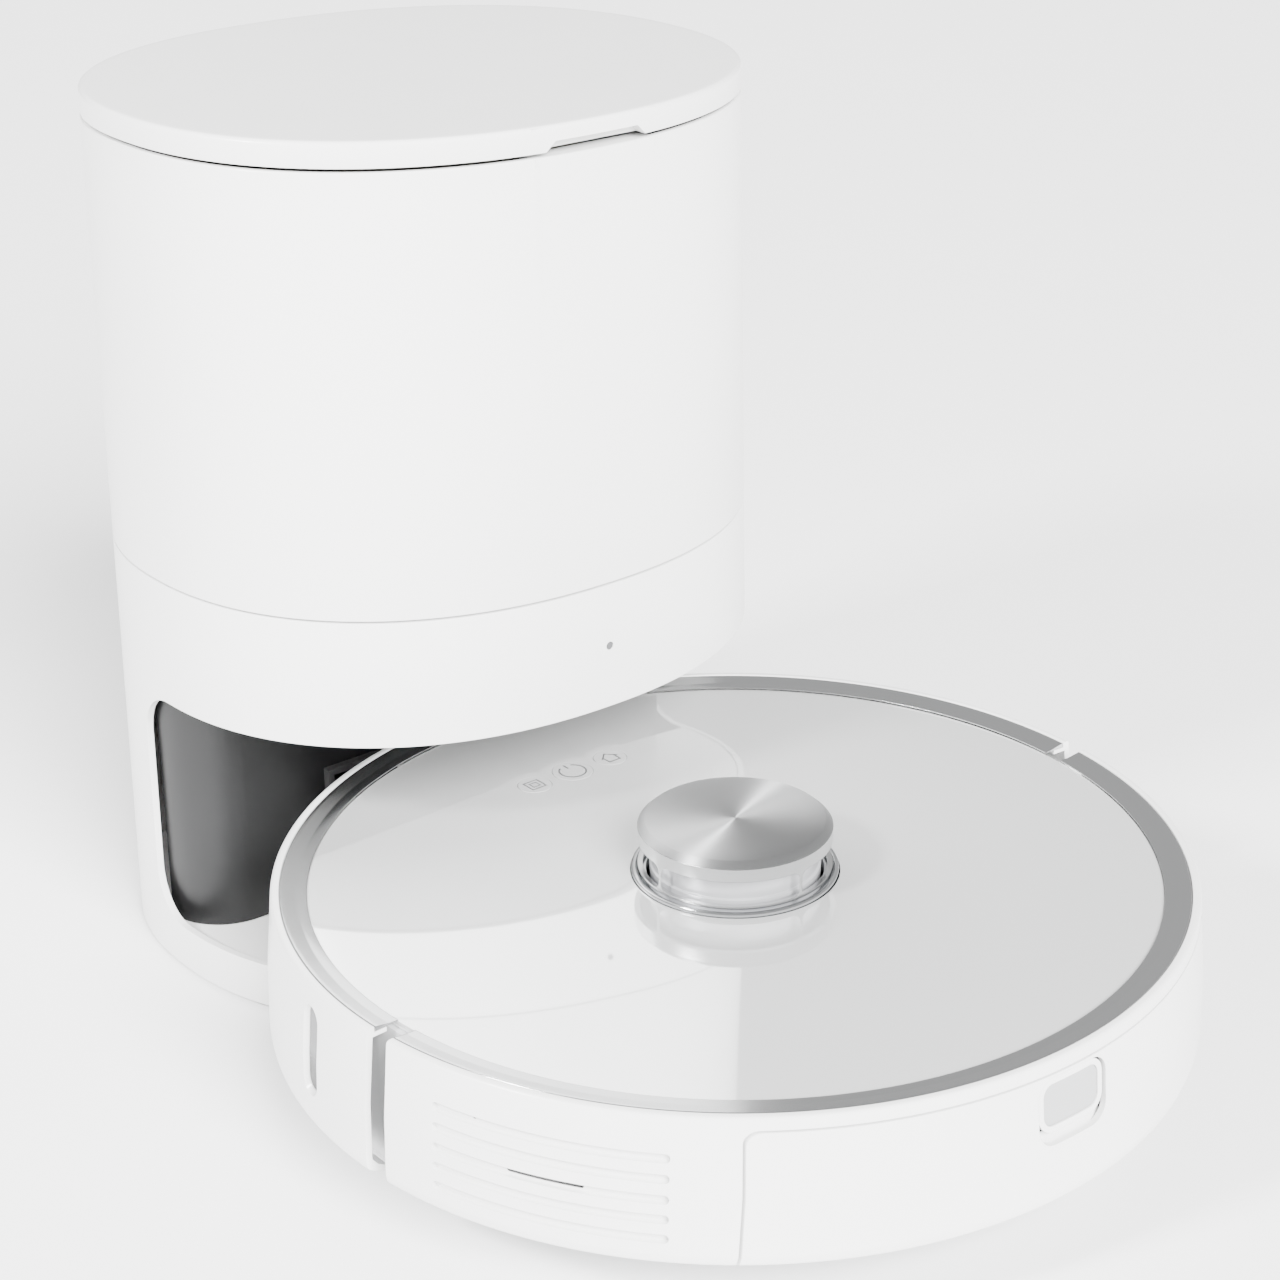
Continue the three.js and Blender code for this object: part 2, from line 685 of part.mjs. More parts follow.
// A backward-leaning impeller with its motor's spindle.
function impeller(radius, height, blades, spindleDrop) {
  const hub = revolve([
    [0, -spindleDrop],
    [radius * 0.4, -spindleDrop],
    [radius * 0.4, 0],
    [radius, 0],
    [radius, 1.5],
    [radius * 0.3, 1.5],
    [radius * 0.25, height],
    [0, height],
  ]);
  const blade = box(radius * 0.2, radius, -0.6, 0.6, 1, height);
  const turned = [];
  for (let i = 0; i < blades; i++) {
    turned.push(blade.rotate([0, 0, (360 / blades) * i]));
  }
  return join(hub, ...turned);
}

function mainBrush() {
  const lobes = 6;
  const outline = [];
  for (let i = 0; i < lobes; i++) {
    const middle = (2 * Math.PI * i) / lobes;
    for (const [offset, radius] of [
      [-0.3, 8.5],
      [-0.1, 9.5],
      [-0.06, BRUSH_RADIUS],
      [0.06, BRUSH_RADIUS],
      [0.1, 9.5],
    ]) {
      outline.push(point(radius * Math.cos(middle + offset), radius * Math.sin(middle + offset)));
    }
  }
  const geometry = prismX(new THREE.Shape(outline), -BRUSH_HALF_LENGTH, BRUSH_HALF_LENGTH, 8);
  const position = geometry.attributes.position;
  for (let i = 0; i < position.count; i++) {
    const turn = (position.getX(i) / BRUSH_HALF_LENGTH) * radians(50);
    const [y, z] = [position.getY(i), position.getZ(i)];
    position.setY(i, y * Math.cos(turn) - z * Math.sin(turn) + BRUSH_Y);
    position.setZ(i, y * Math.sin(turn) + z * Math.cos(turn) + BRUSH_Z);
  }
  return solid(geometry);
}

// The arch over the roller, with the throat that leads back to the dustbin.
function brushHousing() {
  const inner = BRUSH_RADIUS + 2;
  const outer = inner + 2;
  const bottom = CHASSIS_FLOOR_Z + GAP;
  const reach = BRUSH_HALF_LENGTH + 3;
  const block = box(-reach, reach, BRUSH_Y - outer, BRUSH_Y + outer, bottom, BRUSH_Z);
  const tunnel = box(-reach - 1, reach + 1, BRUSH_Y - inner, BRUSH_Y + inner, bottom - 1, BRUSH_Z);
  const throat = box(-60, 60, BIN_FRONT_Y + 1, BRUSH_Y, 31, 49);
  const throatHollow = box(-58, 58, BIN_FRONT_Y - 1, BRUSH_Y - 2, 33, 47);
  return cut(
    join(block, rodX(BRUSH_Y, BRUSH_Z, outer, -reach, reach, 32), throat),
    tunnel,
    rodX(BRUSH_Y, BRUSH_Z, inner, -reach - 1, reach + 1, 32),
    throatHollow,
    box(-reach - 1, reach + 1, -60, 60, -20, bottom),
  );
}

function brushCover() {
  const [z0, z1] = [CHASSIS_BOTTOM_Z - 3.4, CHASSIS_BOTTOM_Z - GAP];
  const frame = solid(prismZ(roundedRectangle(-92, 92, BRUSH_Y - 32, BRUSH_Y + 32, 6), z0, z1));
  const halfLength = BRUSH_HALF_LENGTH + 1;
  const halfWidth = BRUSH_RADIUS + 0.5;
  const window = box(-halfLength, halfLength, BRUSH_Y - halfWidth, BRUSH_Y + halfWidth, z0 - 1, z1 + 1);
  const wheelSide = box(86, 100, -14, 56, z0 - 1, z1 + 1);
  return cut(frame, window, wheelSide, mirrorX(wheelSide));
}

function sideBrush() {
  const hub = revolve([
    [0, 5.2],
    [10, 5.2],
    [10, 8],
    [8, 9.4],
    [4, 9.4],
    [4, 20],
    [0, 20],
  ]);
  const tuft = new THREE.Shape([
    point(6, -1.6),
    point(SIDE_BRUSH_REACH, -3.2),
    point(SIDE_BRUSH_REACH, 3.2),
    point(6, 1.6),
  ]);
  const arm = solid(prismZ(tuft, 5.6, 7.4));
  const arms = [90, 210, 330].map((angle) => arm.rotate([0, 0, angle]));
  return join(hub, ...arms).translate([SIDE_BRUSH.x, SIDE_BRUSH.y, 0]);
}

// The passage from the bumper's dust port, past the turret, to the dustbin.
function transferDuct() {
  const wall = 1.5;
  const [x0, x1] = [PORT_X - PORT_WIDTH / 2 + GAP, PORT_X + PORT_WIDTH / 2 - GAP];
  const [z0, z1] = [PORT_Z - PORT_HEIGHT / 2 + GAP, PORT_Z + PORT_HEIGHT / 2 - GAP];
  const outer = box(x0, x1, BIN_FRONT_Y + 1, 160, z0, z1);
  return cut(outer, box(x0 + wall, x1 - wall, BIN_FRONT_Y - 1, 165, z0 + wall, z1 - wall));
}

add(robot, "battery", box(-34, 58, 40.5, 98, 17, 58), DARK_GREY);
add(robot, "robot_circuit_board", box(-36, 60, 42, 108, 63, 64.6), BOARD_GREEN);
add(robot, "fan_housing", fanHousing(), DARK_GREY);
add(robot, "fan_impeller", impeller(20, 11, 7, 24).translate([FAN.x, FAN.y, 47]), SATIN_GREY);
add(robot, "main_brush", mainBrush(), BRISTLE);
add(robot, "brush_housing", brushHousing(), DARK_GREY);
add(robot, "brush_cover", brushCover(), DARK_GREY);
add(robot, "side_brush", sideBrush(), BRISTLE);
add(robot, "dust_transfer_duct", transferDuct(), DARK_GREY);

// ---------------------------------------------------------------- robot: running gear

function tyre() {
  const pitch = (2 * Math.PI) / WHEEL_TREADS;
  const points = [];
  for (let i = 0; i < WHEEL_TREADS; i++) {
    const middle = pitch * i - Math.PI / 2;
    for (const [share, radius] of [
      [-0.42, WHEEL_RADIUS - 1.5],
      [-0.3, WHEEL_RADIUS],
      [0.3, WHEEL_RADIUS],
      [0.42, WHEEL_RADIUS - 1.5],
    ]) {
      const angle = middle + share * pitch;
      points.push(point(radius * Math.cos(angle), WHEEL_RADIUS + radius * Math.sin(angle)));
    }
  }
  return solid(prismX(new THREE.Shape(points), WHEEL_X - WHEEL_WIDTH / 2, WHEEL_X + WHEEL_WIDTH / 2));
}

function driveWheel() {
  const dish = rodX(0, WHEEL_RADIUS, 22, WHEEL_X + 6, WHEEL_X + 12, 28);
  return cut(tyre(), dish);
}

function wheelArm() {
  const [x0, x1] = [ARM_X - ARM_WIDTH / 2, ARM_X + ARM_WIDTH / 2];
  const outline = new THREE.Shape();
  outline.absarc(0, WHEEL_RADIUS, 13, Math.PI / 2, 1.5 * Math.PI);
  outline.absarc(ARM_PIVOT.y, ARM_PIVOT.z, 8, -Math.PI / 2, Math.PI / 2);
  return solid(prismX(outline, x0, x1));
}

function casterFork() {
  const wheelY = CASTER_Y - CASTER_TRAIL;
  const stem = revolve([
    [0, 19.5],
    [12, 19.5],
    [12, 22],
    [5, 22],
    [5, 35],
    [0, 35],
  ]).translate([0, CASTER_Y, 0]);
  const cheek = (x) => box(x - 1, x + 1, wheelY - 5, CASTER_Y + 5, CASTER_RADIUS - 4, 20);
  return join(stem, cheek(-7.5), cheek(7.5));
}

function robotContact() {
  const { x, y } = CONTACT;
  return box(x - 7, x + 7, y - 4, y + 4, CHASSIS_BOTTOM_Z - 0.8, CHASSIS_BOTTOM_Z - GAP);
}

for (const [side, mirrored] of [
  ["left", true],
  ["right", false],
]) {
  const placed = (body) => (mirrored ? mirrorX(body) : body);
  add(robot, `wheel_arm_${side}`, placed(wheelArm()), DARK_GREY);
  add(robot, `drive_wheel_${side}`, placed(driveWheel()), RUBBER);
  add(robot, `robot_contact_${side}`, placed(robotContact()), BRASS);
}
add(robot, "caster_fork", casterFork(), DARK_GREY);
add(robot, "caster_wheel", rodX(CASTER_Y - CASTER_TRAIL, CASTER_RADIUS, CASTER_RADIUS, -6, 6, 28), RUBBER);

// ---------------------------------------------------------------- dock: casings

const dock = new THREE.Group();
dock.position.y = DOCK_Y;

// The side view of the recess that takes the robot's front: open to the front, with round rear corners.
function recessProfile(bottom, top, back, corner) {
  const front = -DOCK_HALF_DEPTH - 20;
  const shape = new THREE.Shape();
  shape.moveTo(front, bottom);
  shape.lineTo(back - corner, bottom);
  shape.absarc(back - corner, bottom + corner, corner, -Math.PI / 2, 0);
  shape.absarc(back - corner, top - corner, corner, 0, Math.PI / 2);
  shape.lineTo(front, top);
  return shape;
}

function robotPocket(radius, z0, z1) {
  return disc(0, -DOCK_FROM_ROBOT, radius, z0, z1, ROBOT_SEGMENTS * 2);
}

function dockLowerShell() {
  const top = SEAM_Z - 0.4;
  const wall = cut(dockBlock(DOCK_BOTTOM_Z, top), dockBlock(DOCK_BOTTOM_Z - 1, top + 1, DOCK_WALL));
  const reach = DOCK_HALF_WIDTH + 20;
  const sideView = recessProfile(RIM_TOP_Z, OVERHANG_Z, RECESS_SIDE_Y, RECESS_CORNER);
  const recess = solid(prismX(sideView, -reach, reach));
  const ceiling = cut(
    dockBlock(OVERHANG_Z, OVERHANG_Z + 2.4, 1),
    box(-reach, reach, RECESS_BACK_Y, 200, OVERHANG_Z - 1, OVERHANG_Z + 5),
  );
  const led = rodX(0, 0, LED_RADIUS + 0.2, 80, 130, 16).rotate([0, 0, -90]).translate([0, 0, LED_Z]);
  const grille = box(-GRILLE.halfWidth, GRILLE.halfWidth, 90, 130, GRILLE.bottom, GRILLE.top);
  const inlet = box(INLET.x0, INLET.x1, 60, 130, INLET.bottom, INLET.top);
  const opened = cut(wall, recess, robotPocket(POCKET_RADIUS, DOCK_BOTTOM_Z - 1, 60), led, grille, inlet);
  return opened.add(ceiling);
}

function dockBase() {
  const floor = dockBlock(DOCK_BOTTOM_Z, LEDGE_Z, DOCK_WALL + GAP);
  const tongue = dockBlock(DOCK_BOTTOM_Z, RAMP_Z, 0.2).intersect(
    robotPocket(POCKET_RADIUS - GAP, DOCK_BOTTOM_Z - 1, RAMP_Z + 1),
  );
  const channelEnd = CASTER_Y + 21 - DOCK_FROM_ROBOT;
  const casterChannel = box(-20, 20, -140, channelEnd, 0, 30);
  return cut(
    floor.add(tongue),
    robotPocket(POCKET_RADIUS, RAMP_Z, 60),
    casterChannel,
    box(-100, 100, RECESS_SIDE_Y + 10, 90, LEDGE_Z - 8, LEDGE_Z + 5),
    box(INLET.x0 - 4, INLET.x1 + 4, 60, 130, LEDGE_Z - 8, LEDGE_Z + 5),
  );
}

// The black wall behind the robot's nose: flat, with its ends rounded back to the side columns.
function liner() {
  const thickness = 2.4;
  const corner = RECESS_SIDE_Y - RECESS_BACK_Y;
  const reach = DOCK_HALF_WIDTH - 3;
  const face = new THREE.Shape();
  face.moveTo(-reach, RECESS_SIDE_Y);
  face.absarc(-reach + corner, RECESS_SIDE_Y, corner, Math.PI, 1.5 * Math.PI);
  face.absarc(reach - corner, RECESS_SIDE_Y, corner, -Math.PI / 2, 0);
  face.lineTo(reach - thickness, RECESS_SIDE_Y);
  face.absarc(reach - corner, RECESS_SIDE_Y, corner - thickness, 0, -Math.PI / 2, true);
  face.absarc(-reach + corner, RECESS_SIDE_Y, corner - thickness, 1.5 * Math.PI, Math.PI, true);
  face.lineTo(-reach, RECESS_SIDE_Y);
  const wall = solid(prismZ(face, LEDGE_Z + GAP, OVERHANG_Z + 10));
  return cut(wall.intersect(dockBlock(0, 200, DOCK_WALL + GAP)), portTool(0, -20, 20), linerNotch());
}

// The lower shell's ceiling ends at the liner, which is notched to pass behind it.
function linerNotch() {
  const reach = DOCK_HALF_WIDTH + 20;
  return box(-reach, reach, -150, RECESS_BACK_Y + GAP, OVERHANG_Z - GAP, OVERHANG_Z + 20);
}

function dockDeck() {
  const [z0, z1] = [SEAM_Z - 3.5, SEAM_Z];
  const plate = dockBlock(z0, z1, DOCK_WALL + GAP);
  const ductHole = disc(PORT_X, DUCT_Y, DUCT_RADIUS + GAP, z0 - 1, z1 + 1);
  const airHole = disc(BLOWER.x, BLOWER.y, 20, z0 - 1, z1 + 1);
  return cut(plate, ductHole, airHole);
}

function hingeBarrel(radius, x0, x1) {
  return rodX(HINGE.y, HINGE.z, radius, x0, x1, 20);
}

function hingePinHole() {
  return hingeBarrel(HINGE_PIN_RADIUS + 0.1, -30, 30);
}

function dockUpperShell() {
  const z0 = SEAM_Z + 0.4;
  const z1 = LID_LINE_Z - 0.5;
  const wall = cut(dockBlock(z0, z1), dockBlock(z0 - 1, z1 + 1, DOCK_WALL));
  const knuckles = join(hingeBarrel(KNUCKLE_RADIUS, -26, -14), hingeBarrel(KNUCKLE_RADIUS, 14, 26));
  const clearance = hingeBarrel(KNUCKLE_RADIUS + 0.4, -13.6, 13.6);
  return cut(wall.add(knuckles), clearance, hingePinHole());
}

// The lid is a shallow dish, upside down, with a rounded top edge and a finger notch at the front.
function dockLid() {
  const edge = 2;
  const bevelled = new THREE.ExtrudeGeometry(new THREE.Shape(dockOutline(edge)), {
    depth: LID_TOP_Z - LID_LINE_Z - 0.5 - edge,
    bevelThickness: edge,
    bevelSize: edge,
    bevelSegments: 3,
  }).translate(0, 0, LID_LINE_Z + 0.5);
  const above = box(-200, 200, -200, 200, LID_LINE_Z + 0.5, LID_TOP_Z + 5);
  const block = solid(bevelled).intersect(above);
  const notch = new THREE.Shape([
    point(-NOTCH_HALF_WIDTH - NOTCH_HEIGHT, LID_LINE_Z - 1),
    point(NOTCH_HALF_WIDTH + NOTCH_HEIGHT, LID_LINE_Z - 1),
    point(NOTCH_HALF_WIDTH, LID_LINE_Z + NOTCH_HEIGHT),
    point(-NOTCH_HALF_WIDTH, LID_LINE_Z + NOTCH_HEIGHT),
  ]);
  const bossY = -DOCK_HALF_DEPTH + NOTCH_DEPTH + 3;
  const boss = box(-28, 28, -DOCK_HALF_DEPTH, bossY, LID_LINE_Z - 2, LID_TOP_Z);
  const hollow = cut(dockBlock(LID_LINE_Z - 1, LID_TOP_Z - 2.6, DOCK_WALL), boss);
  const knuckle = hingeBarrel(KNUCKLE_RADIUS, -13.2, 13.2);
  const clearance = hingeBarrel(KNUCKLE_RADIUS + 0.4, 13.6, 26.4);
  const fingerNotch = solid(prismY(notch, -130, -DOCK_HALF_DEPTH + NOTCH_DEPTH));
  return cut(cut(block, hollow).add(knuckle), clearance, mirrorX(clearance), hingePinHole(), fingerNotch);
}

// ---------------------------------------------------------------- dock: inside

// The dust pipe, from the recess's port back, up the rear of the dock and forward into the bag's collar.
function suctionDuct() {
  const [lowBend, highBend] = [20, 12];
  const spot = (y, z) => new THREE.Vector3(PORT_X, y, z);
  const start = spot(RECESS_BACK_Y + 4, PORT_Z);
  const lowCorner = [spot(DUCT_Y - lowBend, PORT_Z), spot(DUCT_Y, PORT_Z), spot(DUCT_Y, PORT_Z + lowBend)];
  const highCorner = [
    spot(DUCT_Y, DUCT_TOP_Z - highBend),
    spot(DUCT_Y, DUCT_TOP_Z),
    spot(DUCT_Y - highBend, DUCT_TOP_Z),
  ];
  const path = new THREE.CurvePath();
  path.add(new THREE.LineCurve3(start, lowCorner[0]));
  path.add(new THREE.QuadraticBezierCurve3(...lowCorner));
  path.add(new THREE.LineCurve3(lowCorner[2], highCorner[0]));
  path.add(new THREE.QuadraticBezierCurve3(...highCorner));
  path.add(new THREE.LineCurve3(highCorner[2], spot(COLLAR_Y + 3, DUCT_TOP_Z)));
  const section = new THREE.Shape(circlePoints(DUCT_RADIUS, 12));
  section.holes.push(new THREE.Path(circlePoints(DUCT_RADIUS - 1.8, 12)));
  return solid(new THREE.ExtrudeGeometry(section, { steps: 22, extrudePath: path }));
}

function circlePoints(radius, count) {
  const points = [];
  for (let i = 0; i < count; i++) {
    const angle = (2 * Math.PI * i) / count;
    points.push(point(radius * Math.cos(angle), radius * Math.sin(angle)));
  }
  return points;
}

function portSeal() {
  const [y0, y1] = [RECESS_BACK_Y - 4, RECESS_BACK_Y - GAP];
  return cut(portTool(3, y0, y1), portTool(0.5, y0 - 1, y1 + 1));
}

function bagCollar() {
  const plate = box(PORT_X - 40, PORT_X + 60, COLLAR_Y, COLLAR_Y + 2.5, 215, 315);
  const mouth = rodX(0, 0, DUCT_RADIUS - 1, COLLAR_Y - 5, COLLAR_Y + 5, 24).rotate([0, 0, 90]);
  return cut(plate, mouth.translate([PORT_X, 0, DUCT_TOP_Z]));
}

function dustBag() {
  const plan = roundedRectangle(-BAG.halfWidth, BAG.halfWidth, BAG.frontY, COLLAR_Y - 2, BAG.corner);
  const body = solid(prismZ(plan, BAG.bottom, BAG.top));
  return body.intersect(dockBlock(BAG.bottom - 5, BAG.top + 5, DOCK_WALL + 6));
}

function blowerHousing() {
  const wall = 2;
  const eye = 18; // radius of the air inlet in the top
  const { radius, bottom, top } = BLOWER;
  const cup = revolve(
    [
      [0, bottom],
      [radius, bottom],
      [radius, top],
      [eye, top],
      [eye, top - wall],
      [radius - wall, top - wall],
      [radius - wall, bottom + wall],
      [0, bottom + wall],
    ],
    32,
  );
  const outlet = box(-14, 14, radius - 8, radius + 7, bottom + 10, bottom + 42);
  return cut(cup, outlet).translate([BLOWER.x, BLOWER.y, 0]);
}

function blowerImpeller() {
  return impeller(BLOWER.radius - 6, 16, 9, 40).translate([BLOWER.x, BLOWER.y, 80]);
}

// The grille fills the rear opening with level slats in a frame.
function exhaustGrille() {
  const { halfWidth, bottom, top } = GRILLE;
  const skin = cut(dockBlock(bottom + 0.5, top - 0.5, 0.4), dockBlock(bottom - 1, top + 1, 2.6));
  const frame = skin.intersect(box(-halfWidth + 0.4, halfWidth - 0.4, 90, 130, bottom, top));
  const slots = [];
  for (let z = bottom + 6; z < top - 7; z += 8) {
    slots.push(box(-halfWidth + 6, halfWidth - 6, 80, 130, z, z + 5));
  }
  return cut(frame, ...slots);
}

function powerInlet() {
  const y0 = 82;
  const { x0, x1, bottom, top } = INLET;
  const body = box(x0 + 0.4, x1 - 0.4, y0, 130, bottom + 0.4, top - 0.4);
  const block = body.intersect(dockBlock(bottom - 4, top + 8, 0.5));
  const socket = solid(prismY(roundedRectangle(x0 + 5, x1 - 5, bottom + 5, top - 5, 3.9), y0 + 4, 140));
  return cut(block, socket);
}

function led() {
  const outside = DOCK_HALF_DEPTH + DOCK_SPREAD * (LID_LINE_Z - LED_Z);
  const rod = rodX(0, 0, LED_RADIUS, outside - DOCK_WALL - 4, outside - 0.2, 16);
  return rod.rotate([0, 0, -90]).translate([0, 0, LED_Z]);
}

function dockContact(x) {
  const pin = revolve(
    [
      [0, RAMP_Z + GAP],
      [3, RAMP_Z + GAP],
      [3, 9.6],
      [2, 10.8],
      [0, 10.9],
    ],
    16,
  );
  return pin.translate([x, CONTACT.y - DOCK_FROM_ROBOT, 0]);
}

add(dock, "dock_base", dockBase(), WHITE);
add(dock, "dock_lower_shell", dockLowerShell(), WHITE);
add(dock, "dock_recess_liner", liner(), BLACK);
add(dock, "dock_deck", dockDeck(), DARK_GREY);
add(dock, "dock_upper_shell", dockUpperShell(), WHITE);
add(dock, "dock_lid", dockLid(), WHITE);
add(dock, "lid_hinge_pin", hingeBarrel(HINGE_PIN_RADIUS, -26, 26), STEEL);
add(dock, "dock_suction_duct", suctionDuct(), DARK_GREY);
add(dock, "dock_port_seal", portSeal(), RUBBER);
add(dock, "bag_collar", bagCollar(), PAPER);
add(dock, "dust_bag", dustBag(), PAPER);
add(dock, "blower_housing", blowerHousing(), DARK_GREY);
add(dock, "blower_impeller", blowerImpeller(), SATIN_GREY);
add(dock, "dock_circuit_board", box(-96, -94.4, 20, 70, 40, 100), BOARD_GREEN);
add(dock, "exhaust_grille", exhaustGrille(), WHITE);
add(dock, "exhaust_filter", box(-40, 40, 97, 103, 38, 82), PAPER);
add(dock, "power_inlet", powerInlet(), BLACK);
add(dock, "status_led", led(), SATIN_GREY);
add(dock, "dock_contact_left", dockContact(-CONTACT.x), BRASS);
add(dock, "dock_contact_right", dockContact(CONTACT.x), BRASS);
for (const [name, y] of [
  ["front", -FOOT.y],
  ["rear", FOOT.y],
]) {
  add(dock, `foot_left_${name}`, disc(-FOOT.x, y, FOOT.radius, 0, DOCK_BOTTOM_Z - GAP, 16), RUBBER);
  add(dock, `foot_right_${name}`, disc(FOOT.x, y, FOOT.radius, 0, DOCK_BOTTOM_Z - GAP, 16), RUBBER);
}

const group = new THREE.Group();
group.add(robot, dock);
export default group;
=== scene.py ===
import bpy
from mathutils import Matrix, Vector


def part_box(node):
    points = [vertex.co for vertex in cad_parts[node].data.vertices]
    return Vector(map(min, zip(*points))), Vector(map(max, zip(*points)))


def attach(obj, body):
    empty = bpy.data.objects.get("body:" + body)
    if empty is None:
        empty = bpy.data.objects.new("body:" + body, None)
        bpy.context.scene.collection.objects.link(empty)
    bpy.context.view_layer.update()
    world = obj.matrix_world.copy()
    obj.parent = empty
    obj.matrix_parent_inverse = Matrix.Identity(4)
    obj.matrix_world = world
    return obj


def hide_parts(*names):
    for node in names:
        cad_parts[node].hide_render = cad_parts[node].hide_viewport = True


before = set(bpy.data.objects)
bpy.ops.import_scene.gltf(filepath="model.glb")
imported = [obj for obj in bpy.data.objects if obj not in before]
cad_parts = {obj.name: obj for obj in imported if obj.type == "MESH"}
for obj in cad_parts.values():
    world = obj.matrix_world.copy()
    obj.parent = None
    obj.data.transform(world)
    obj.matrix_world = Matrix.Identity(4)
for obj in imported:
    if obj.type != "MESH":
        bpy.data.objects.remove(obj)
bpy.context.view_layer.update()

import math

import bmesh
import bpy
from mathutils import Matrix, Vector

# The looks of a robot vacuum parked in its dock. Shapes are written in millimetres around the robot's or
# the dock's own centre line, which come from the frame, and are scaled to metres when they are made.

MM = 0.001


def middle(node):
    low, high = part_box(node)
    return (low + high) / 2


def top_of(node):
    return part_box(node)[1].z / MM


def bottom_of(node):
    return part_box(node)[0].z / MM


ROBOT = Vector((0, middle("robot_top_plate").y, 0))
DOCK = Vector((0, middle("dock_deck").y, 0))

# ---------------------------------------------------------------- materials


def principled(name, colour, roughness, metallic=0.0, **sockets):
    made = bpy.data.materials.new(name)
    made.use_nodes = True
    shader = made.node_tree.nodes["Principled BSDF"]
    shader.inputs["Base Color"].default_value = (*colour, 1)
    shader.inputs["Roughness"].default_value = roughness
    shader.inputs["Metallic"].default_value = metallic
    for socket, value in sockets.items():
        shader.inputs[socket.replace("_", " ")].default_value = value
    return made


def add_node(made, kind, **settings):
    node = made.node_tree.nodes.new(kind)
    for key, value in settings.items():
        if key in node.inputs:
            node.inputs[key].default_value = value
        else:
            setattr(node, key, value)
    return node


def wire(made, source, target):
    made.node_tree.links.new(source, target)


def noise(made, scale, detail=2.0, stretch=(1, 1, 1)):
    """A noise value over the piece, in metres of the frame."""
    place = add_node(made, "ShaderNodeTexCoord")
    mapping = add_node(made, "ShaderNodeMapping", Scale=stretch)
    texture = add_node(made, "ShaderNodeTexNoise", Scale=scale, Detail=detail)
    wire(made, place.outputs["Object"], mapping.inputs["Vector"])
    wire(made, mapping.outputs["Vector"], texture.inputs["Vector"])
    return texture.outputs["Fac"]


DARK_END, LIGHT_END = 0.3, 0.7  # noise values that get the full dark and the full light colour


def vary_colour(made, source, dark, light):
    shader = made.node_tree.nodes["Principled BSDF"]
    ramp = add_node(made, "ShaderNodeValToRGB")
    ramp.color_ramp.elements[0].position = DARK_END
    ramp.color_ramp.elements[0].color = (*dark, 1)
    ramp.color_ramp.elements[1].position = LIGHT_END
    ramp.color_ramp.elements[1].color = (*light, 1)
    wire(made, source, ramp.inputs["Fac"])
    wire(made, ramp.outputs["Color"], shader.inputs["Base Color"])


def vary_roughness(made, source, low, high):
    spread = add_node(made, "ShaderNodeMapRange")
    spread.inputs["To Min"].default_value = low
    spread.inputs["To Max"].default_value = high
    wire(made, source, spread.inputs["Value"])
    wire(made, spread.outputs["Result"], made.node_tree.nodes["Principled BSDF"].inputs["Roughness"])


def relief(made, source, depth, edge=0.35):
    """Bump of a depth in mm, over edges that are softened by a radius in mm."""
    shader = made.node_tree.nodes["Principled BSDF"]
    soft_edge = add_node(made, "ShaderNodeBevel", Radius=edge * MM, samples=6)
    bump = add_node(made, "ShaderNodeBump", Distance=depth * MM, Strength=1.0)
    wire(made, source, bump.inputs["Height"])
    wire(made, soft_edge.outputs["Normal"], bump.inputs["Normal"])
    wire(made, bump.outputs["Normal"], shader.inputs["Normal"])


def shade(colour, factor):
    return tuple(c * factor for c in colour)


def moulded(name, colour, roughness, grain=0.01, spread=0.03, **sockets):
    """Moulded plastic: a very fine spark-eroded grain, faint mottling and uneven gloss."""
    made = principled(name, colour, roughness, **sockets)
    slow = noise(made, 9, 3)
    vary_colour(made, slow, shade(colour, 1 - spread), colour)
    vary_roughness(made, noise(made, 40, 2), roughness * 0.9, roughness * 1.12)
    relief(made, noise(made, 1400, 2), grain)
    return made


def spun_metal(name, colour, roughness, anisotropy):
    """Metal turned on a lathe: fine rings around the middle of the piece."""
    across_the_rings = 0.25
    made = principled(
        name, colour, roughness, metallic=1.0, Anisotropic=anisotropy, Anisotropic_Rotation=across_the_rings
    )
    shader = made.node_tree.nodes["Principled BSDF"]
    tangent = add_node(made, "ShaderNodeTangent", direction_type="RADIAL", axis="Z")
    wire(made, tangent.outputs["Tangent"], shader.inputs["Tangent"])
    place = add_node(made, "ShaderNodeTexCoord")
    centre = add_node(made, "ShaderNodeMapping", Location=tuple(-c for c in ROBOT))
    rings = add_node(made, "ShaderNodeTexWave", wave_type="RINGS", rings_direction="Z", Scale=900)
    rings.inputs["Distortion"].default_value = 0.6
    wire(made, place.outputs["Object"], centre.inputs["Vector"])
    wire(made, centre.outputs["Vector"], rings.inputs["Vector"])
    vary_colour(made, rings.outputs["Fac"], shade(colour, 0.93), colour)
    relief(made, rings.outputs["Fac"], 0.0015, edge=0.25)
    return made


def window_with_painted_reflection(name):
    """A smoked pane with a painted reflection: its colour is painted light grey at its top and near black
    at its foot, by height.
    """
    # heights in metres between which the painted reflection fades from near black to light grey
    painted_dark_below, painted_light_above = 0.042, 0.060
    made = moulded(name, (0.2, 0.2, 0.205), 0.14, grain=0.002, spread=0.1)
    place = add_node(made, "ShaderNodeTexCoord")
    height = add_node(made, "ShaderNodeSeparateXYZ")
    depth = add_node(made, "ShaderNodeMapRange")
    depth.inputs["From Min"].default_value = painted_dark_below
    depth.inputs["From Max"].default_value = painted_light_above
    wire(made, place.outputs["Object"], height.inputs["Vector"])
    wire(made, height.outputs["Z"], depth.inputs["Value"])
    # painted reflection and shade: the colour ramps by height from near black at the foot to light grey at
    # the top
    vary_colour(made, depth.outputs["Result"], (0.01, 0.01, 0.011), (0.12, 0.12, 0.125))
    return made


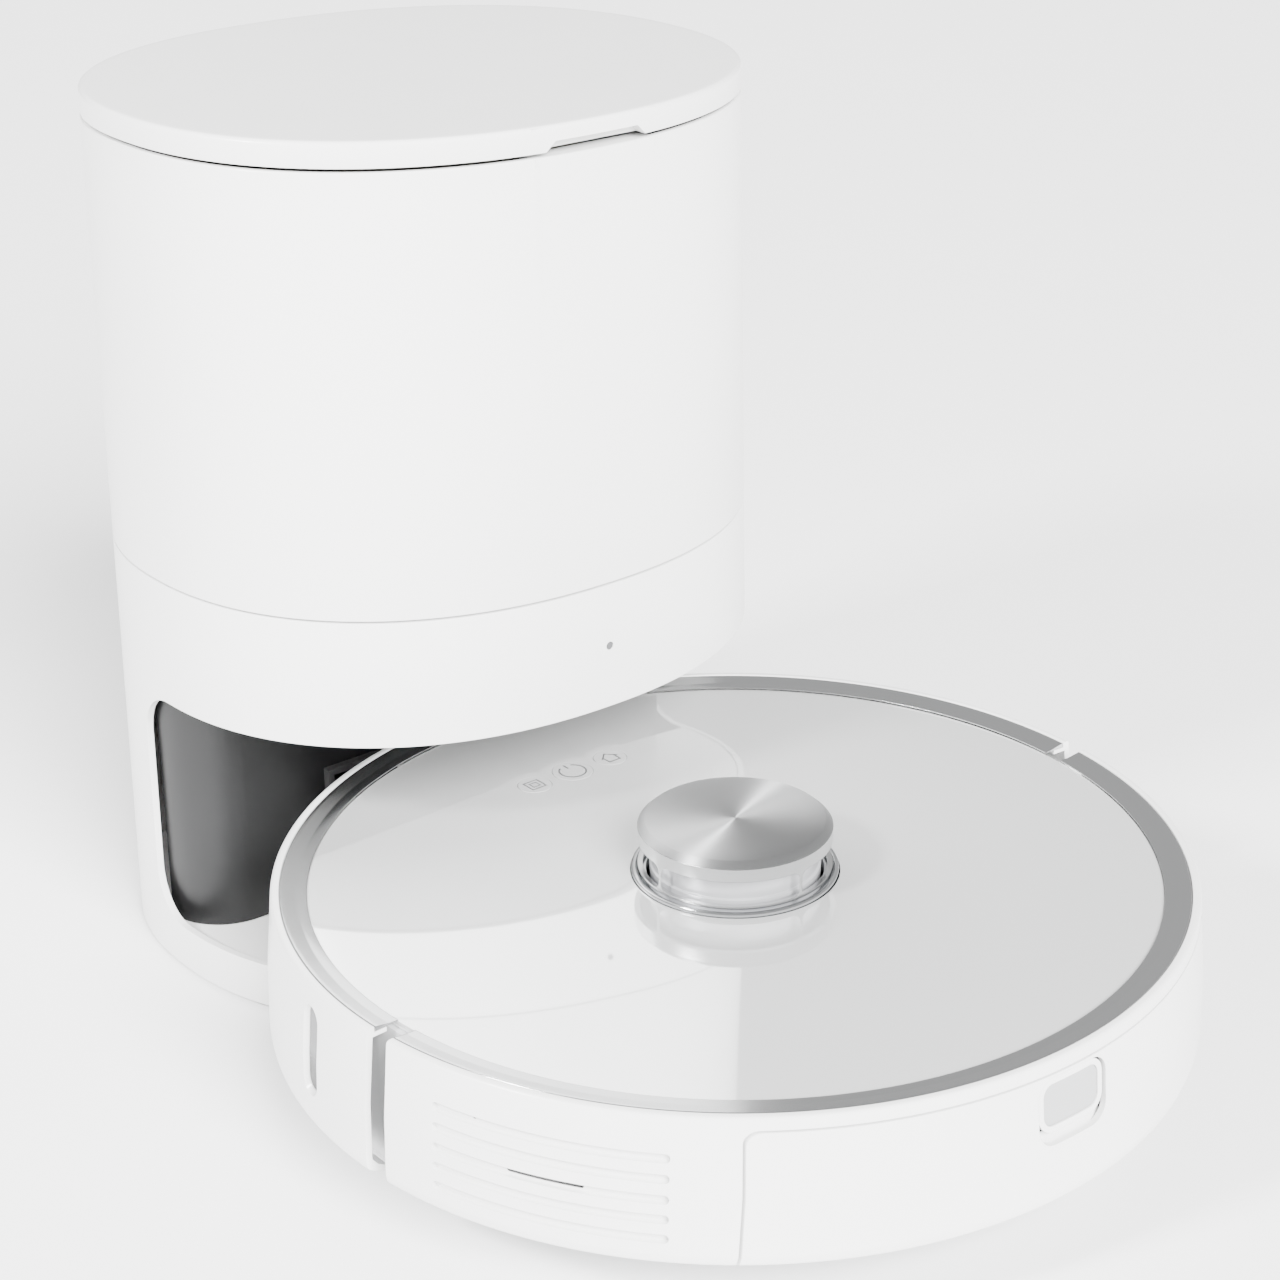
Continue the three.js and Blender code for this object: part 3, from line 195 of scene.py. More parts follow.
WHITE = (0.82, 0.82, 0.815)
look = {
    "white": moulded(
        "white_shell", WHITE, 0.32, grain=0.006, spread=0.015, Coat_Weight=0.25, Coat_Roughness=0.12
    ),
    "plate": moulded("gloss_plate", (0.86, 0.865, 0.865), 0.04, grain=0.0004, spread=0.01, Metallic=0.6),
    "grey_face": moulded("satin_grey_face", (0.4, 0.405, 0.41), 0.35, grain=0.01),
    "icon": moulded("icon_ink", (0.1, 0.102, 0.105), 0.3, grain=0.004),
    "trim": moulded("plated_trim", (0.58, 0.585, 0.59), 0.16, grain=0.002, spread=0.02, Metallic=1.0),
    "steel_cap": spun_metal("spun_steel", (0.5, 0.505, 0.51), 0.5, 0.95),
    "steel_band": moulded("band_steel", (0.66, 0.665, 0.67), 0.24, grain=0.001, Metallic=1.0),
    "drum": moulded("drum_grey", (0.55, 0.555, 0.57), 0.25, grain=0.003, Metallic=0.5),
    "chrome": moulded("bright_chrome", (0.6, 0.61, 0.62), 0.12, grain=0.001, Metallic=1.0),
    "liner": moulded("black_liner", (0.006, 0.006, 0.0065), 0.4, grain=0.004, spread=0.2),
    "tray": moulded("grey_tray", (0.62, 0.625, 0.63), 0.45, grain=0.02, spread=0.08),
    # the window material has a painted reflection, light grey at the top and dark at the foot
    "window": window_with_painted_reflection("infrared_window"),
    "dark": moulded("dark_plastic", (0.045, 0.047, 0.05), 0.45, grain=0.02, spread=0.15),
    "rubber": moulded("rubber", (0.03, 0.03, 0.031), 0.75, grain=0.05, spread=0.25),
    "board": moulded("solder_mask", (0.02, 0.16, 0.06), 0.35, grain=0.03, spread=0.3),
    "paper": moulded("filter_paper", (0.72, 0.68, 0.6), 0.9, grain=0.08, spread=0.12),
    "brass": moulded("plated_contact", (0.72, 0.53, 0.24), 0.25, grain=0.002, Metallic=1.0),
    "bristle": moulded("bristle", (0.05, 0.08, 0.13), 0.6, grain=0.12, spread=0.4),
}

# ---------------------------------------------------------------- mesh making


def fillet(corners, segments=6):
    """A closed outline from (x, y, radius) corners, with an arc at each corner that has a radius."""
    outline = []
    for i, (x, y, radius) in enumerate(corners):
        here = Vector((x, y))
        before = Vector(corners[i - 1][:2]) - here
        after = Vector(corners[(i + 1) % len(corners)][:2]) - here
        if not radius:
            outline.append((x, y))
            continue
        half = before.angle(after) / 2
        reach = min(radius / math.tan(half), before.length * 0.49, after.length * 0.49)
        start = here + before.normalized() * reach
        end = here + after.normalized() * reach
        bisector = (before.normalized() + after.normalized()).normalized()
        centre = here + bisector * (reach / math.cos(half))
        first = math.atan2(*(start - centre).yx)
        sweep = math.atan2(*(end - centre).yx) - first
        sweep = (sweep + math.pi) % (2 * math.pi) - math.pi
        size = (start - centre).length
        for k in range(segments + 1):
            angle = first + sweep * k / segments
            outline.append((centre.x + size * math.cos(angle), centre.y + size * math.sin(angle)))
    return outline


def loft(rings, closed):
    """Quads between neighbouring rings of equal length; open ends are capped."""
    size = len(rings[0])
    vertices = [point for ring in rings for point in ring]
    faces = []
    spans = len(rings) if closed else len(rings) - 1
    for i in range(spans):
        a, b = i * size, (i + 1) % len(rings) * size
        for k in range(size):
            n = (k + 1) % size
            faces.append((a + k, a + n, b + n, b + k))
    if not closed:
        faces.append(tuple(range(size)))
        faces.append(tuple(range((len(rings) - 1) * size, len(rings) * size)))
    return vertices, faces


def circle(angle, radius, _z):
    return radius * math.cos(angle), radius * math.sin(angle)


def around(section, steps=240, start=0.0, end=360.0, plan=circle):
    """Sweeps a closed section of (radius, z) around the plan, between two angles in degrees."""
    closed = end - start >= 360
    rings = []
    for i in range(steps if closed else steps + 1):
        angle = math.radians(start + (end - start) * i / steps)
        rings.append([(*plan(angle, r, z), z) for r, z in section])
    return loft(rings, closed)


def stack(profile, steps=240, plan=circle):
    """Level rings along an open profile of (radius, z), with the first and last capped."""
    rings = []
    for r, z in profile:
        rings.append([(*plan(2 * math.pi * i / steps, r, z), z) for i in range(steps)])
    return loft(rings, False)


def prism(outline, low, high, axis="Z"):
    """A straight prism. The outline is drawn in XY, XZ or YZ for the axes Z, Y and X."""
    place = {
        "Z": lambda u, v, w: (u, v, w),
        "Y": lambda u, v, w: (u, w, v),
        "X": lambda u, v, w: (w, u, v),
    }[axis]
    return loft([[place(u, v, w) for u, v in outline] for w in (low, high)], False)


def rounded_box(x0, x1, y0, y1, radius, segments=6):
    return fillet([(x0, y0, radius), (x1, y0, radius), (x1, y1, radius), (x0, y1, radius)], segments)


def solid(name, shape, centre=Vector(), turn=0.0):
    """A mesh object from vertices in mm, turned about the vertical in degrees, then moved to its centre."""
    vertices, faces = shape
    mesh = bpy.data.meshes.new(name)
    mesh.from_pydata([tuple(c * MM for c in v) for v in vertices], [], faces)
    mesh.transform(Matrix.Translation(centre) @ Matrix.Rotation(math.radians(turn), 4, "Z"))
    tidy = bmesh.new()
    tidy.from_mesh(mesh)
    bmesh.ops.remove_doubles(tidy, verts=tidy.verts, dist=1e-7)
    bmesh.ops.dissolve_degenerate(tidy, edges=tidy.edges, dist=1e-7)
    bmesh.ops.recalc_face_normals(tidy, faces=tidy.faces)
    tidy.to_mesh(mesh)
    tidy.free()
    made = bpy.data.objects.new(name, mesh)
    bpy.context.scene.collection.objects.link(made)
    return made


def carve(target, cutters, operation="DIFFERENCE"):
    """Cuts solids out of the target, or keeps what they share, and removes them."""
    for cutter in cutters:
        modifier = target.modifiers.new("carve", "BOOLEAN")
        modifier.operation = operation
        modifier.solver = "EXACT"
        modifier.object = cutter
        settle(target)
        bpy.data.objects.remove(cutter)
    return target


def settle(target):
    """Applies the target's modifiers to its mesh."""
    graph = bpy.context.evaluated_depsgraph_get()
    mesh = bpy.data.meshes.new_from_object(target.evaluated_get(graph))
    target.modifiers.clear()
    target.data = mesh


def join(first, *others):
    """Puts separate closed bodies into one object."""
    whole = bmesh.new()
    whole.from_mesh(first.data)
    for other in others:
        whole.from_mesh(other.data)
        bpy.data.objects.remove(other)
    whole.to_mesh(first.data)
    whole.free()
    return first


def finished(target, body, slot, material, *nodes):
    """Shades a piece smooth but for its sharp edges, and ties it to the frame."""
    target.data.materials.clear()
    target.data.materials.append(look[material])
    for polygon in target.data.polygons:
        polygon.use_smooth = True
        polygon.material_index = 0
    target.data.set_sharp_from_angle(angle=math.radians(32))
    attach(target, body)
    if nodes:
        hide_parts(*nodes)
    return target


# ---------------------------------------------------------------- robot: casings

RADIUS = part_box("bumper_shell")[1].x / MM
WALL_TOP = top_of("robot_body_shell")
WALL_BOTTOM = bottom_of("robot_body_shell")
WIDEST_Z = 28.5
PLATE_TOP = top_of("robot_top_plate")
PLATE_BOTTOM = bottom_of("robot_top_plate")
PLATE_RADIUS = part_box("robot_top_plate")[1].x / MM
TRIM_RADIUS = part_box("bumper_trim")[1].x / MM
BUMPER_END = math.degrees(math.asin((ROBOT.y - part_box("bumper_shell")[0].y) / MM / RADIUS))
BODY_START = math.degrees(math.asin((ROBOT.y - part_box("robot_body_shell")[1].y) / MM / RADIUS))


def wall_radius(z):
    """Radius of the side wall's outer face at a height."""
    if z < 52:
        return RADIUS - 0.7 * (z - WIDEST_Z) / (52 - WIDEST_Z)
    return RADIUS - 0.7 - 2.4 * (z - 52) / (78.6 - 52)


def wall_section():
    """The side wall, from its turned-in lip up to the flange under the silver trim."""
    inner = TRIM_RADIUS + 0.3
    return fillet(
        [
            (165.5, WALL_BOTTOM, 0.7),
            (171, 24.2, 5),
            (174.4, 26.2, 2.5),
            (RADIUS, WIDEST_Z + 1, 6),
            (RADIUS - 0.7, 52, 60),
            (RADIUS - 3.3, WALL_TOP, 1.5),
            (inner, WALL_TOP, 0.35),
            (inner, PLATE_TOP, 0),
            (163.5, PLATE_TOP, 0),
            (163.5, PLATE_TOP - 1.6, 0),
            (169.5, PLATE_TOP - 1.6, 0),
            (171.9, 52, 0),
            (172.4, 29.5, 2),
            (170, 26.6, 2),
            (165.5, WALL_BOTTOM + 2.4, 0.7),
        ],
        5,
    )


def wall(name, start, end):
    return solid(name, around(wall_section(), steps=300, start=start, end=end), ROBOT)


def trim(name, start, end, body, node):
    inner = PLATE_RADIUS - 0.4
    bottom = bottom_of("bumper_trim")
    section = fillet(
        [
            (inner, bottom, 0.1),
            (TRIM_RADIUS, bottom, 0.1),
            (TRIM_RADIUS, WALL_TOP - 0.12, 0.35),
            (166.6, WALL_TOP - 0.45, 3),
            (162.5, 79.35, 8),
            (inner, bottom + 0.42, 0.15),
        ],
        5,
    )
    finished(solid(name, around(section, 240, start, end), ROBOT), body, "silver_trim", "trim", node)


def tilted_slot(half_width, low, high, radius, from_y, to_y, angle):
    """A rounded prism that points outwards from the robot's middle, at an angle in degrees."""
    outline = rounded_box(-half_width, half_width, low, high, radius)
    return solid("cutter", prism(outline, from_y, to_y, "Y"), ROBOT, angle - 90)


WINDOW_ANGLE = 171.1
WINDOW_HALF_WIDTH = 4.4
WINDOW_LOW, WINDOW_HIGH = 39.0, 71.4
WINDOW_BEVEL = 1.3


def window_cutter(angle, margin=0.0):
    half = WINDOW_HALF_WIDTH + margin
    return tilted_slot(half, WINDOW_LOW - margin, WINDOW_HIGH + margin, half * 0.98, 150, RADIUS + 4, angle)


def window_bevel(angle):
    """A funnel that follows the wall's slope and widens from the window to the wall's face."""
    rings = []
    for widen, out in ((0.0, -1.7), (WINDOW_BEVEL, 0.05), (WINDOW_BEVEL, 3)):
        half = WINDOW_HALF_WIDTH + widen
        outline = rounded_box(-half, half, WINDOW_LOW - widen, WINDOW_HIGH + widen, half * 0.98, 8)
        rings.append([(x, wall_radius(z) + out, z) for x, z in outline])
    return solid("cutter", loft(rings, False), ROBOT, angle - 90)


def bumper():
    shell = wall("bumper", -BUMPER_END, 180 + BUMPER_END)
    port_low, port_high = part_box("dock_port_seal")
    half_x = (port_high.x - port_low.x) / 2 / MM
    port_x = middle("dock_port_seal").x / MM
    port = rounded_box(port_x - half_x, port_x + half_x, port_low.z / MM, port_high.z / MM, 3)
    port_cutter = solid("cutter", prism(port, 140, 185, "Y"), ROBOT)
    both = (WINDOW_ANGLE, 180 - WINDOW_ANGLE)
    carve(shell, [make(angle) for angle in both for make in (window_cutter, window_bevel)] + [port_cutter])
    finished(shell, "bumper", "white_plastic", "white", "bumper_shell")
    for side, angle in (("left", WINDOW_ANGLE), ("right", 180 - WINDOW_ANGLE)):
        outer = [(wall_radius(z) - 1.9, z) for z in (30, 52, 76)]
        pane_section = outer + [(r - 0.9, z) for r, z in reversed(outer)]
        pane = solid("pane_" + side, around(pane_section, 60, angle - 4, angle + 4), ROBOT)
        carve(pane, [window_cutter(angle, -0.3)], "INTERSECT")
        finished(pane, "bumper", "dark_plastic", "window", "bumper_window_" + side)


PANEL_TOP = top_of("dustbin_panel")
PANEL_TOP_HALF_WIDTH = 110.6
PANEL_FLARE = 0.06  # its half width grows by this much per mm downwards
PANEL_CORNER = 5.0
LINE = 0.8  # width of the parting line around the panel


def panel_cutter(margin):
    low = WALL_BOTTOM - 10
    top = PANEL_TOP + margin
    top_half = PANEL_TOP_HALF_WIDTH + margin
    low_half = top_half + PANEL_FLARE * (top - low)
    corners = [(-low_half, low, 0), (low_half, low, 0)]
    corners += [(top_half, top, PANEL_CORNER), (-top_half, top, PANEL_CORNER)]
    return solid("cutter", prism(fillet(corners, 8), -RADIUS - 5, -100, "Y"), ROBOT)


VENT_ANGLE = -152.0
VENT_HEIGHTS = (35.5, 42.9, 50.3, 57.8, 65.2)
VENT_HALF_ANGLE = 14.0
VENT_HALF_HEIGHT = 1.6
VENT_DEPTH = 2.0
SLIT_HALF_ANGLE = 4.5
SLIT_HALF_HEIGHT = 1.0
PINHOLE_ANGLE = -160.8
PINHOLE_RADIUS = 0.55


def vent_cutters():
    """Shallow slots with round ends that follow the wall's slope, the open slit and the pinhole."""
    floor = [(wall_radius(z) - VENT_DEPTH, z) for z in (30, 52, 70)]
    section = floor + [(RADIUS + 4, 70), (RADIUS + 4, 30)]
    band = solid("cutter", around(section, 90, VENT_ANGLE - 20, VENT_ANGLE + 20), ROBOT)
    half_width = RADIUS * math.sin(math.radians(VENT_HALF_ANGLE))
    outside = RADIUS + 3
    slots = []
    for z in VENT_HEIGHTS:
        low, high = z - VENT_HALF_HEIGHT, z + VENT_HALF_HEIGHT
        slots.append(tilted_slot(half_width, low, high, 1.55, 120, outside, VENT_ANGLE))
    carve(band, [join(*slots)], "INTERSECT")
    slit_half = RADIUS * math.sin(math.radians(SLIT_HALF_ANGLE))
    slit_low, slit_high = VENT_HEIGHTS[2] - SLIT_HALF_HEIGHT, VENT_HEIGHTS[2] + SLIT_HALF_HEIGHT
    slit = tilted_slot(slit_half, slit_low, slit_high, 0.95, 150, outside, VENT_ANGLE)
    hole_low, hole_high = VENT_HEIGHTS[4] - PINHOLE_RADIUS, VENT_HEIGHTS[4] + PINHOLE_RADIUS
    pinhole = tilted_slot(PINHOLE_RADIUS, hole_low, hole_high, 0.54, 150, outside, PINHOLE_ANGLE)
    return [band, slit, pinhole]


def body_shell():
    shell = wall("body_shell", 180 + BODY_START, 360 - BODY_START)
    carve(shell, [panel_cutter(LINE / 2), *vent_cutters()])
    finished(shell, "robot", "white_plastic", "white", "robot_body_shell")


BUTTON_X = middle("dustbin_release_button").x / MM
BUTTON_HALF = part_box("dustbin_release_button")[1].x / MM - BUTTON_X
BUTTON_LOW = 53.2
BUTTON_HIGH = top_of("dustbin_release_button")
BUTTON_CORNER = 6.5
BUTTON_DEPTH = 1.1  # the button's face stands this far behind the wall's face
PAD_INSET = 2.2
RECESS_LOW = 48.9
RECESS_MARGIN = 0.9


def button_cutter(margin, low=None, to_y=-150):
    half = BUTTON_HALF + margin
    bottom = BUTTON_LOW - margin if low is None else low
    corner = BUTTON_CORNER + margin
    outline = rounded_box(BUTTON_X - half, BUTTON_X + half, bottom, BUTTON_HIGH + margin, corner, 8)
    return solid("cutter", prism(outline, -RADIUS - 5, to_y, "Y"), ROBOT)


def finger_ramp():
    """The hollowed ramp under the release button, which lets a finger reach below it."""
    face = []
    for k in range(9):
        angle = math.radians(90 * k / 8)
        face.append((-174.4 + 5.2 * math.sin(angle), RECESS_LOW - 0.4 + 4.3 * (1 - math.cos(angle))))
    outline = face + [(-169.2, RECESS_LOW - 5), (-172.4, RECESS_LOW - 5)]
    half = BUTTON_HALF + RECESS_MARGIN + 0.4
    ramp = solid("finger_ramp", prism(outline, BUTTON_X - half, BUTTON_X + half, "X"), ROBOT)
    levels = (30, 52, 70)
    round_wall = [(0, levels[0])] + [(wall_radius(z) - 0.02, z) for z in levels] + [(0, levels[-1])]
    return carve(ramp, [solid("cutter", around(round_wall, 360), ROBOT)], "INTERSECT")


def dustbin_panel():
    panel = wall("bin_panel", 220, 320)
    carve(panel, [panel_cutter(-LINE / 2)], "INTERSECT")
    carve(panel, [button_cutter(RECESS_MARGIN, RECESS_LOW)])
    finished(join(panel, finger_ramp()), "dustbin", "white_plastic", "white", "dustbin_panel")


def release_button():
    """A thin white rim around a grey thumb pad, both just behind the wall's face."""
    levels = (40, 52, 78)
    rim_face = [(wall_radius(z) - BUTTON_DEPTH, z) for z in levels]
    rim_section = rim_face + [(168.8, levels[-1]), (168.8, levels[0])]
    rim = solid("release_rim", around(rim_section, 120, 262, 278), ROBOT)
    carve(rim, [button_cutter(0)], "INTERSECT")
    carve(rim, [button_cutter(-PAD_INSET, to_y=-169.9)])
    finished(rim, "release_key", "white_plastic", "white", "dustbin_release_button")
    pad_section = [(r - 0.6, z) for r, z in rim_face] + [(170.0, levels[-1]), (170.0, levels[0])]
    pad = solid("release_pad", around(pad_section, 120, 262, 278), ROBOT)
    carve(pad, [button_cutter(-PAD_INSET - 0.08)], "INTERSECT")
    finished(pad, "release_key", "satin_grey", "grey_face")


# ---------------------------------------------------------------- robot: top

TOUCH_KEYS = {
    "power_key": ("power_button", "power"),
    "spot_key": ("spot_button", "spot"),
    "home_key": ("home_button", "home"),
}


def plate():
    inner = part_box("lidar_base")[1].x / MM + 0.35
    section = fillet(
        [
            (inner, PLATE_BOTTOM, 0),
            (PLATE_RADIUS, PLATE_BOTTOM, 0.2),
            (PLATE_RADIUS, PLATE_TOP, 0.9),
            (inner, PLATE_TOP, 0.2),
        ]
    )
    disc = solid("top_plate", around(section, 360), ROBOT)
    cutters = []
    for node, _icon in TOUCH_KEYS.values():
        low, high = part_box(node)
        centre = Vector((*((low + high) / 2).xy, 0))
        radius = (high.x - low.x) / 2 / MM + 0.15
        under, over = PLATE_BOTTOM - 2, PLATE_TOP + 2
        section = [(0, under), (radius, under), (radius, over), (0, over)]
        cutters.append(solid("cutter", around(section, 64), centre))
    carve(disc, cutters)
    finished(disc, "robot", "gloss_white", "plate", "robot_top_plate")


def arc_band(inner, outer, start, end, low, high):
    steps = max(8, int(abs(end - start) / 6))
    return around([(inner, low), (outer, low), (outer, high), (inner, high)], steps, start, end)


def bar(x0, x1, y0, y1, low, high):
    return prism([(x0, y0), (x1, y0), (x1, y1), (x0, y1)], low, high)


def outline_band(outside, inside, low, high):
    """The flat band between two outlines with equally many corners."""
    rings = [[(*a, low), (*a, high), (*b, high), (*b, low)] for a, b in zip(outside, inside)]
    return loft(rings, True)


def square_band(half, line, low, high):
    corners = [(1, 1), (-1, 1), (-1, -1), (1, -1)]
    outside = [(half * x, half * y) for x, y in corners]
    inside = [((half - line) * x, (half - line) * y) for x, y in corners]
    return outline_band(outside, inside, low, high)


def icon_shapes(kind, low, high):
    """Generic signs: a power ring, a house and nested squares."""
    if kind == "power":
        return [arc_band(5.1, 5.75, 118, 422, low, high), bar(-0.33, 0.33, 2.8, 6.2, low, high)]
    if kind == "home":
        outside = [(-4.2, 0.1), (0, 4.2), (4.2, 0.1), (3.0, 0.1), (3.0, -3.6), (-3.0, -3.6), (-3.0, 0.1)]
        inside = [(-2.7, 0.7), (0, 3.4), (2.7, 0.7), (2.4, 0.7), (2.4, -3.0), (-2.4, -3.0), (-2.4, 0.7)]
        return [outline_band(outside, inside, low, high)]
    return [square_band(3.5, 0.55, low, high), square_band(1.8, 0.5, low, high)]


def touch_key(body, node, kind):
    low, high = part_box(node)
    centre = Vector((*((low + high) / 2).xy, 0))
    radius = (high.x - low.x) / 2 / MM
    face = PLATE_TOP + 0.08
    profile = [(2.5, low.z / MM), (2.5, PLATE_BOTTOM), (radius, PLATE_BOTTOM), (radius, face - 0.1)]
    profile += [(radius - 0.1, face), (1, face)]
    finished(solid(kind + "_cap", stack(profile, 64), centre), body, "satin_grey", "plate", node)
    marks = [solid("mark", shape, centre) for shape in icon_shapes(kind, face - 0.05, face + 0.05)]
    finished(join(*marks), body, "satin_grey", "icon").name = kind + "_sign"


CAP_TOP = top_of("lidar_cage")
CAGE_LOW = bottom_of("lidar_cage")
CAGE_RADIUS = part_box("lidar_cage")[1].x / MM
BAND_LOW = 91.4
SHOULDER_Z = 96.6
CAP_FLAT_RADIUS = 33.7
FLANGE_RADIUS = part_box("lidar_base")[1].x / MM
FLANGE_TOP = top_of("lidar_base")


def turret():
    wall_in = CAGE_RADIUS - 2
    cage_section = fillet(
        [
            (wall_in, CAGE_LOW, 0.1),
            (CAGE_RADIUS, CAGE_LOW, 0.4),
            (CAGE_RADIUS, SHOULDER_Z - 0.05, 0.2),
            (wall_in, SHOULDER_Z - 0.05, 0),
        ]
    )
    cage = solid("cage_band", around(cage_section, 240), ROBOT)
    windows = []
    for quarter in range(4):
        half_width = CAGE_RADIUS * math.sin(math.radians(44.0))
        opening = rounded_box(-half_width, half_width, CAGE_LOW + 1.2, BAND_LOW, 2.6)
        windows.append(solid("cutter", prism(opening, 12, CAGE_RADIUS + 3, "Y"), ROBOT, 90 * quarter + 45))
    carve(cage, windows)
    finished(cage, "robot", "brushed_steel", "steel_band", "lidar_cage")

    cap_profile = [(wall_in, SHOULDER_Z - 1), (wall_in, SHOULDER_Z), (CAGE_RADIUS - 0.05, SHOULDER_Z)]
    cap_profile += [(CAGE_RADIUS - 0.15, SHOULDER_Z + 0.15), (CAP_FLAT_RADIUS + 0.2, CAP_TOP - 0.12)]
    cap_profile += [(CAP_FLAT_RADIUS - 0.2, CAP_TOP)]
    inner_radii = [CAGE_RADIUS * share for share in (0.75, 0.5, 0.25)] + [1.0, 0.1]
    cap_profile += [(r, CAP_TOP - 0.02) for r in inner_radii]
    finished(solid("spun_cap", stack(cap_profile, 240), ROBOT), "robot", "brushed_steel", "steel_cap")

    base_section = fillet(
        [
            (30, bottom_of("lidar_base"), 0),
            (FLANGE_RADIUS, bottom_of("lidar_base"), 0),
            (FLANGE_RADIUS, FLANGE_TOP, 0.7),
            (FLANGE_RADIUS - 1.6, FLANGE_TOP - 0.1, 0.3),
            (FLANGE_RADIUS - 2.2, FLANGE_TOP - 1.0, 0.4),
            (FLANGE_RADIUS - 5.5, FLANGE_TOP - 1.0, 0.2),
            (30, 70, 0),
        ]
    )
    flange = solid("turret_flange", around(base_section, 240), ROBOT)
    finished(flange, "robot", "brushed_steel", "chrome", "lidar_base")

    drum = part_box("lidar_rotor")
    radius = drum[1].x / MM
    top, low = drum[1].z / MM, drum[0].z / MM
    profile = [(7, low), (7, 76), (radius - 1, 76), (radius, 76.6), (radius, 81.6)]
    profile += [(radius - 0.8, 82), (radius - 0.8, top - 1), (radius - 1.6, top), (2, top)]
    rotor = solid("laser_drum", stack(profile, 160), ROBOT)
    lenses = []
    for x, size in ((-11, 5), (11, 4)):
        outline = rounded_box(x - size, x + size, 87 - size * 0.8, 87 + size * 0.8, size * 0.7, 8)
        lenses.append(solid("cutter", prism(outline, 21, 40, "Y"), ROBOT))
    carve(rotor, lenses)
    finished(rotor, "lidar_head", "black_gloss", "drum", "lidar_rotor")



# ---------------------------------------------------------------- dock

HALF_WIDTH = 126.6
HALF_DEPTH = 112.2
HALF_Z = 337.0  # height at which the plan has its stated half width and depth
POWER = 2.21
SPREAD = 0.011
WALL = 2.8
LID_LOW = 337.7
LID_TOP = top_of("dock_lid")
UPPER_TOP = 336.3
SEAM = (top_of("dock_lower_shell") + bottom_of("dock_upper_shell")) / 2
OVERHANG = 118.8
DOCK_BOTTOM = bottom_of("dock_lower_shell")
RIM_TOP = 20.0
LEDGE = top_of("dock_base")
RAMP = 4.5
POCKET = 178.0
SEAM_HALF = 0.45  # half the height of the gap between the two shells
BEYOND = 30  # how far a cutter sticks out of the dock
LED_HOLE = 1.65
KNUCKLE_BORE, KNUCKLE_RADIUS = 1.4, 3
HINGE_ROOM = 2.1
LINER_THICKNESS = 2.2
CHANNEL_HALF_WIDTH = 20
LINER_FRONT = (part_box("dock_recess_liner")[0].y - DOCK.y) / MM
COLUMN_EDGE = (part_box("dock_recess_liner")[1].y - DOCK.y) / MM
RECESS_CORNER = 20.0
LED_Z = middle("status_led").z / MM


def oval(angle, inset, z):
    """The dock's plan: a superellipse that spreads a little towards the floor, moved in by an inset."""
    grow = SPREAD * max(0.0, HALF_Z - z) - inset
    c, s = math.cos(angle), math.sin(angle)
    x = (HALF_WIDTH + grow) * math.copysign(abs(c) ** (2 / POWER), c)
    y = (HALF_DEPTH + grow) * math.copysign(abs(s) ** (2 / POWER), s)
    return x, y


def dock_ring(name, corners):
    return solid(name, around(fillet(corners, 5), 360, plan=oval), DOCK)


def knuckle(start, end):
    """A tube around the hinge pin, between two places along it."""
    section = [(KNUCKLE_BORE, start), (KNUCKLE_RADIUS, start), (KNUCKLE_RADIUS, end), (KNUCKLE_BORE, end)]
    made = solid("knuckle", around(section, 48))
    turned = Matrix.Rotation(math.pi / 2, 4, "Y")
    made.data.transform(Matrix.Translation(middle("lid_hinge_pin")) @ turned)
    return made


def recess_cutter():
    front = -HALF_DEPTH - BEYOND
    outline = fillet(
        [
            (front, RIM_TOP, 0),
            (COLUMN_EDGE, RIM_TOP, RECESS_CORNER),
            (COLUMN_EDGE, OVERHANG, RECESS_CORNER),
            (front, OVERHANG, 0),
        ],
        14,
    )
    return solid("cutter", prism(outline, -HALF_WIDTH - BEYOND, HALF_WIDTH + BEYOND, "X"), DOCK)


def pocket_cutter(low, high, radius=POCKET):
    section = [(0, low), (radius, low), (radius, high), (0, high)]
    return solid("cutter", around(section, 360), ROBOT)


def box_cutter(low, high):
    outline = [(low[0], low[1]), (high[0], low[1]), (high[0], high[1]), (low[0], high[1])]
    return solid("cutter", prism(outline, low[2], high[2]), Vector())


def node_cutter(node, margin, stretch=(0, 0, 0)):
    low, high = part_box(node)
    grow = Vector((margin, margin, margin)) + Vector(stretch)
    return box_cutter((low - grow * MM) / MM, (high + grow * MM) / MM)


def lower_shell():
    top = SEAM - SEAM_HALF
    shell = dock_ring(
        "lower_shell",
        [(0, DOCK_BOTTOM, 0.8), (0, top, 0.35), (WALL, top, 0.2), (WALL, DOCK_BOTTOM, 0.3)],
    )
    ceiling_profile = [(WALL - 0.5, OVERHANG), (WALL - 0.5, OVERHANG + 2.4)]
    ceiling = solid("ceiling", stack(ceiling_profile, 240, oval), DOCK)
    outline = [(-200, LINER_FRONT), (200, LINER_FRONT), (200, 200), (-200, 200)]
    carve(ceiling, [solid("cutter", prism(outline, OVERHANG - 1, OVERHANG + 5), DOCK)])
    hole = solid("cutter", around([(0, 80), (LED_HOLE, 80), (LED_HOLE, 130), (0, 130)], 32))
    led_height = Matrix.Translation(DOCK + Vector((0, 0, LED_Z * MM)))
    hole.data.transform(led_height @ Matrix.Rotation(math.pi / 2, 4, "X"))
    cuts = [recess_cutter(), pocket_cutter(0, 60), hole]
    cuts += [node_cutter("exhaust_grille", 0.3, (0, 10, 0)), node_cutter("power_inlet", 0.3, (0, 10, 0))]
    carve(shell, cuts)
    finished(join(shell, ceiling), "dock", "white_plastic", "white", "dock_lower_shell")


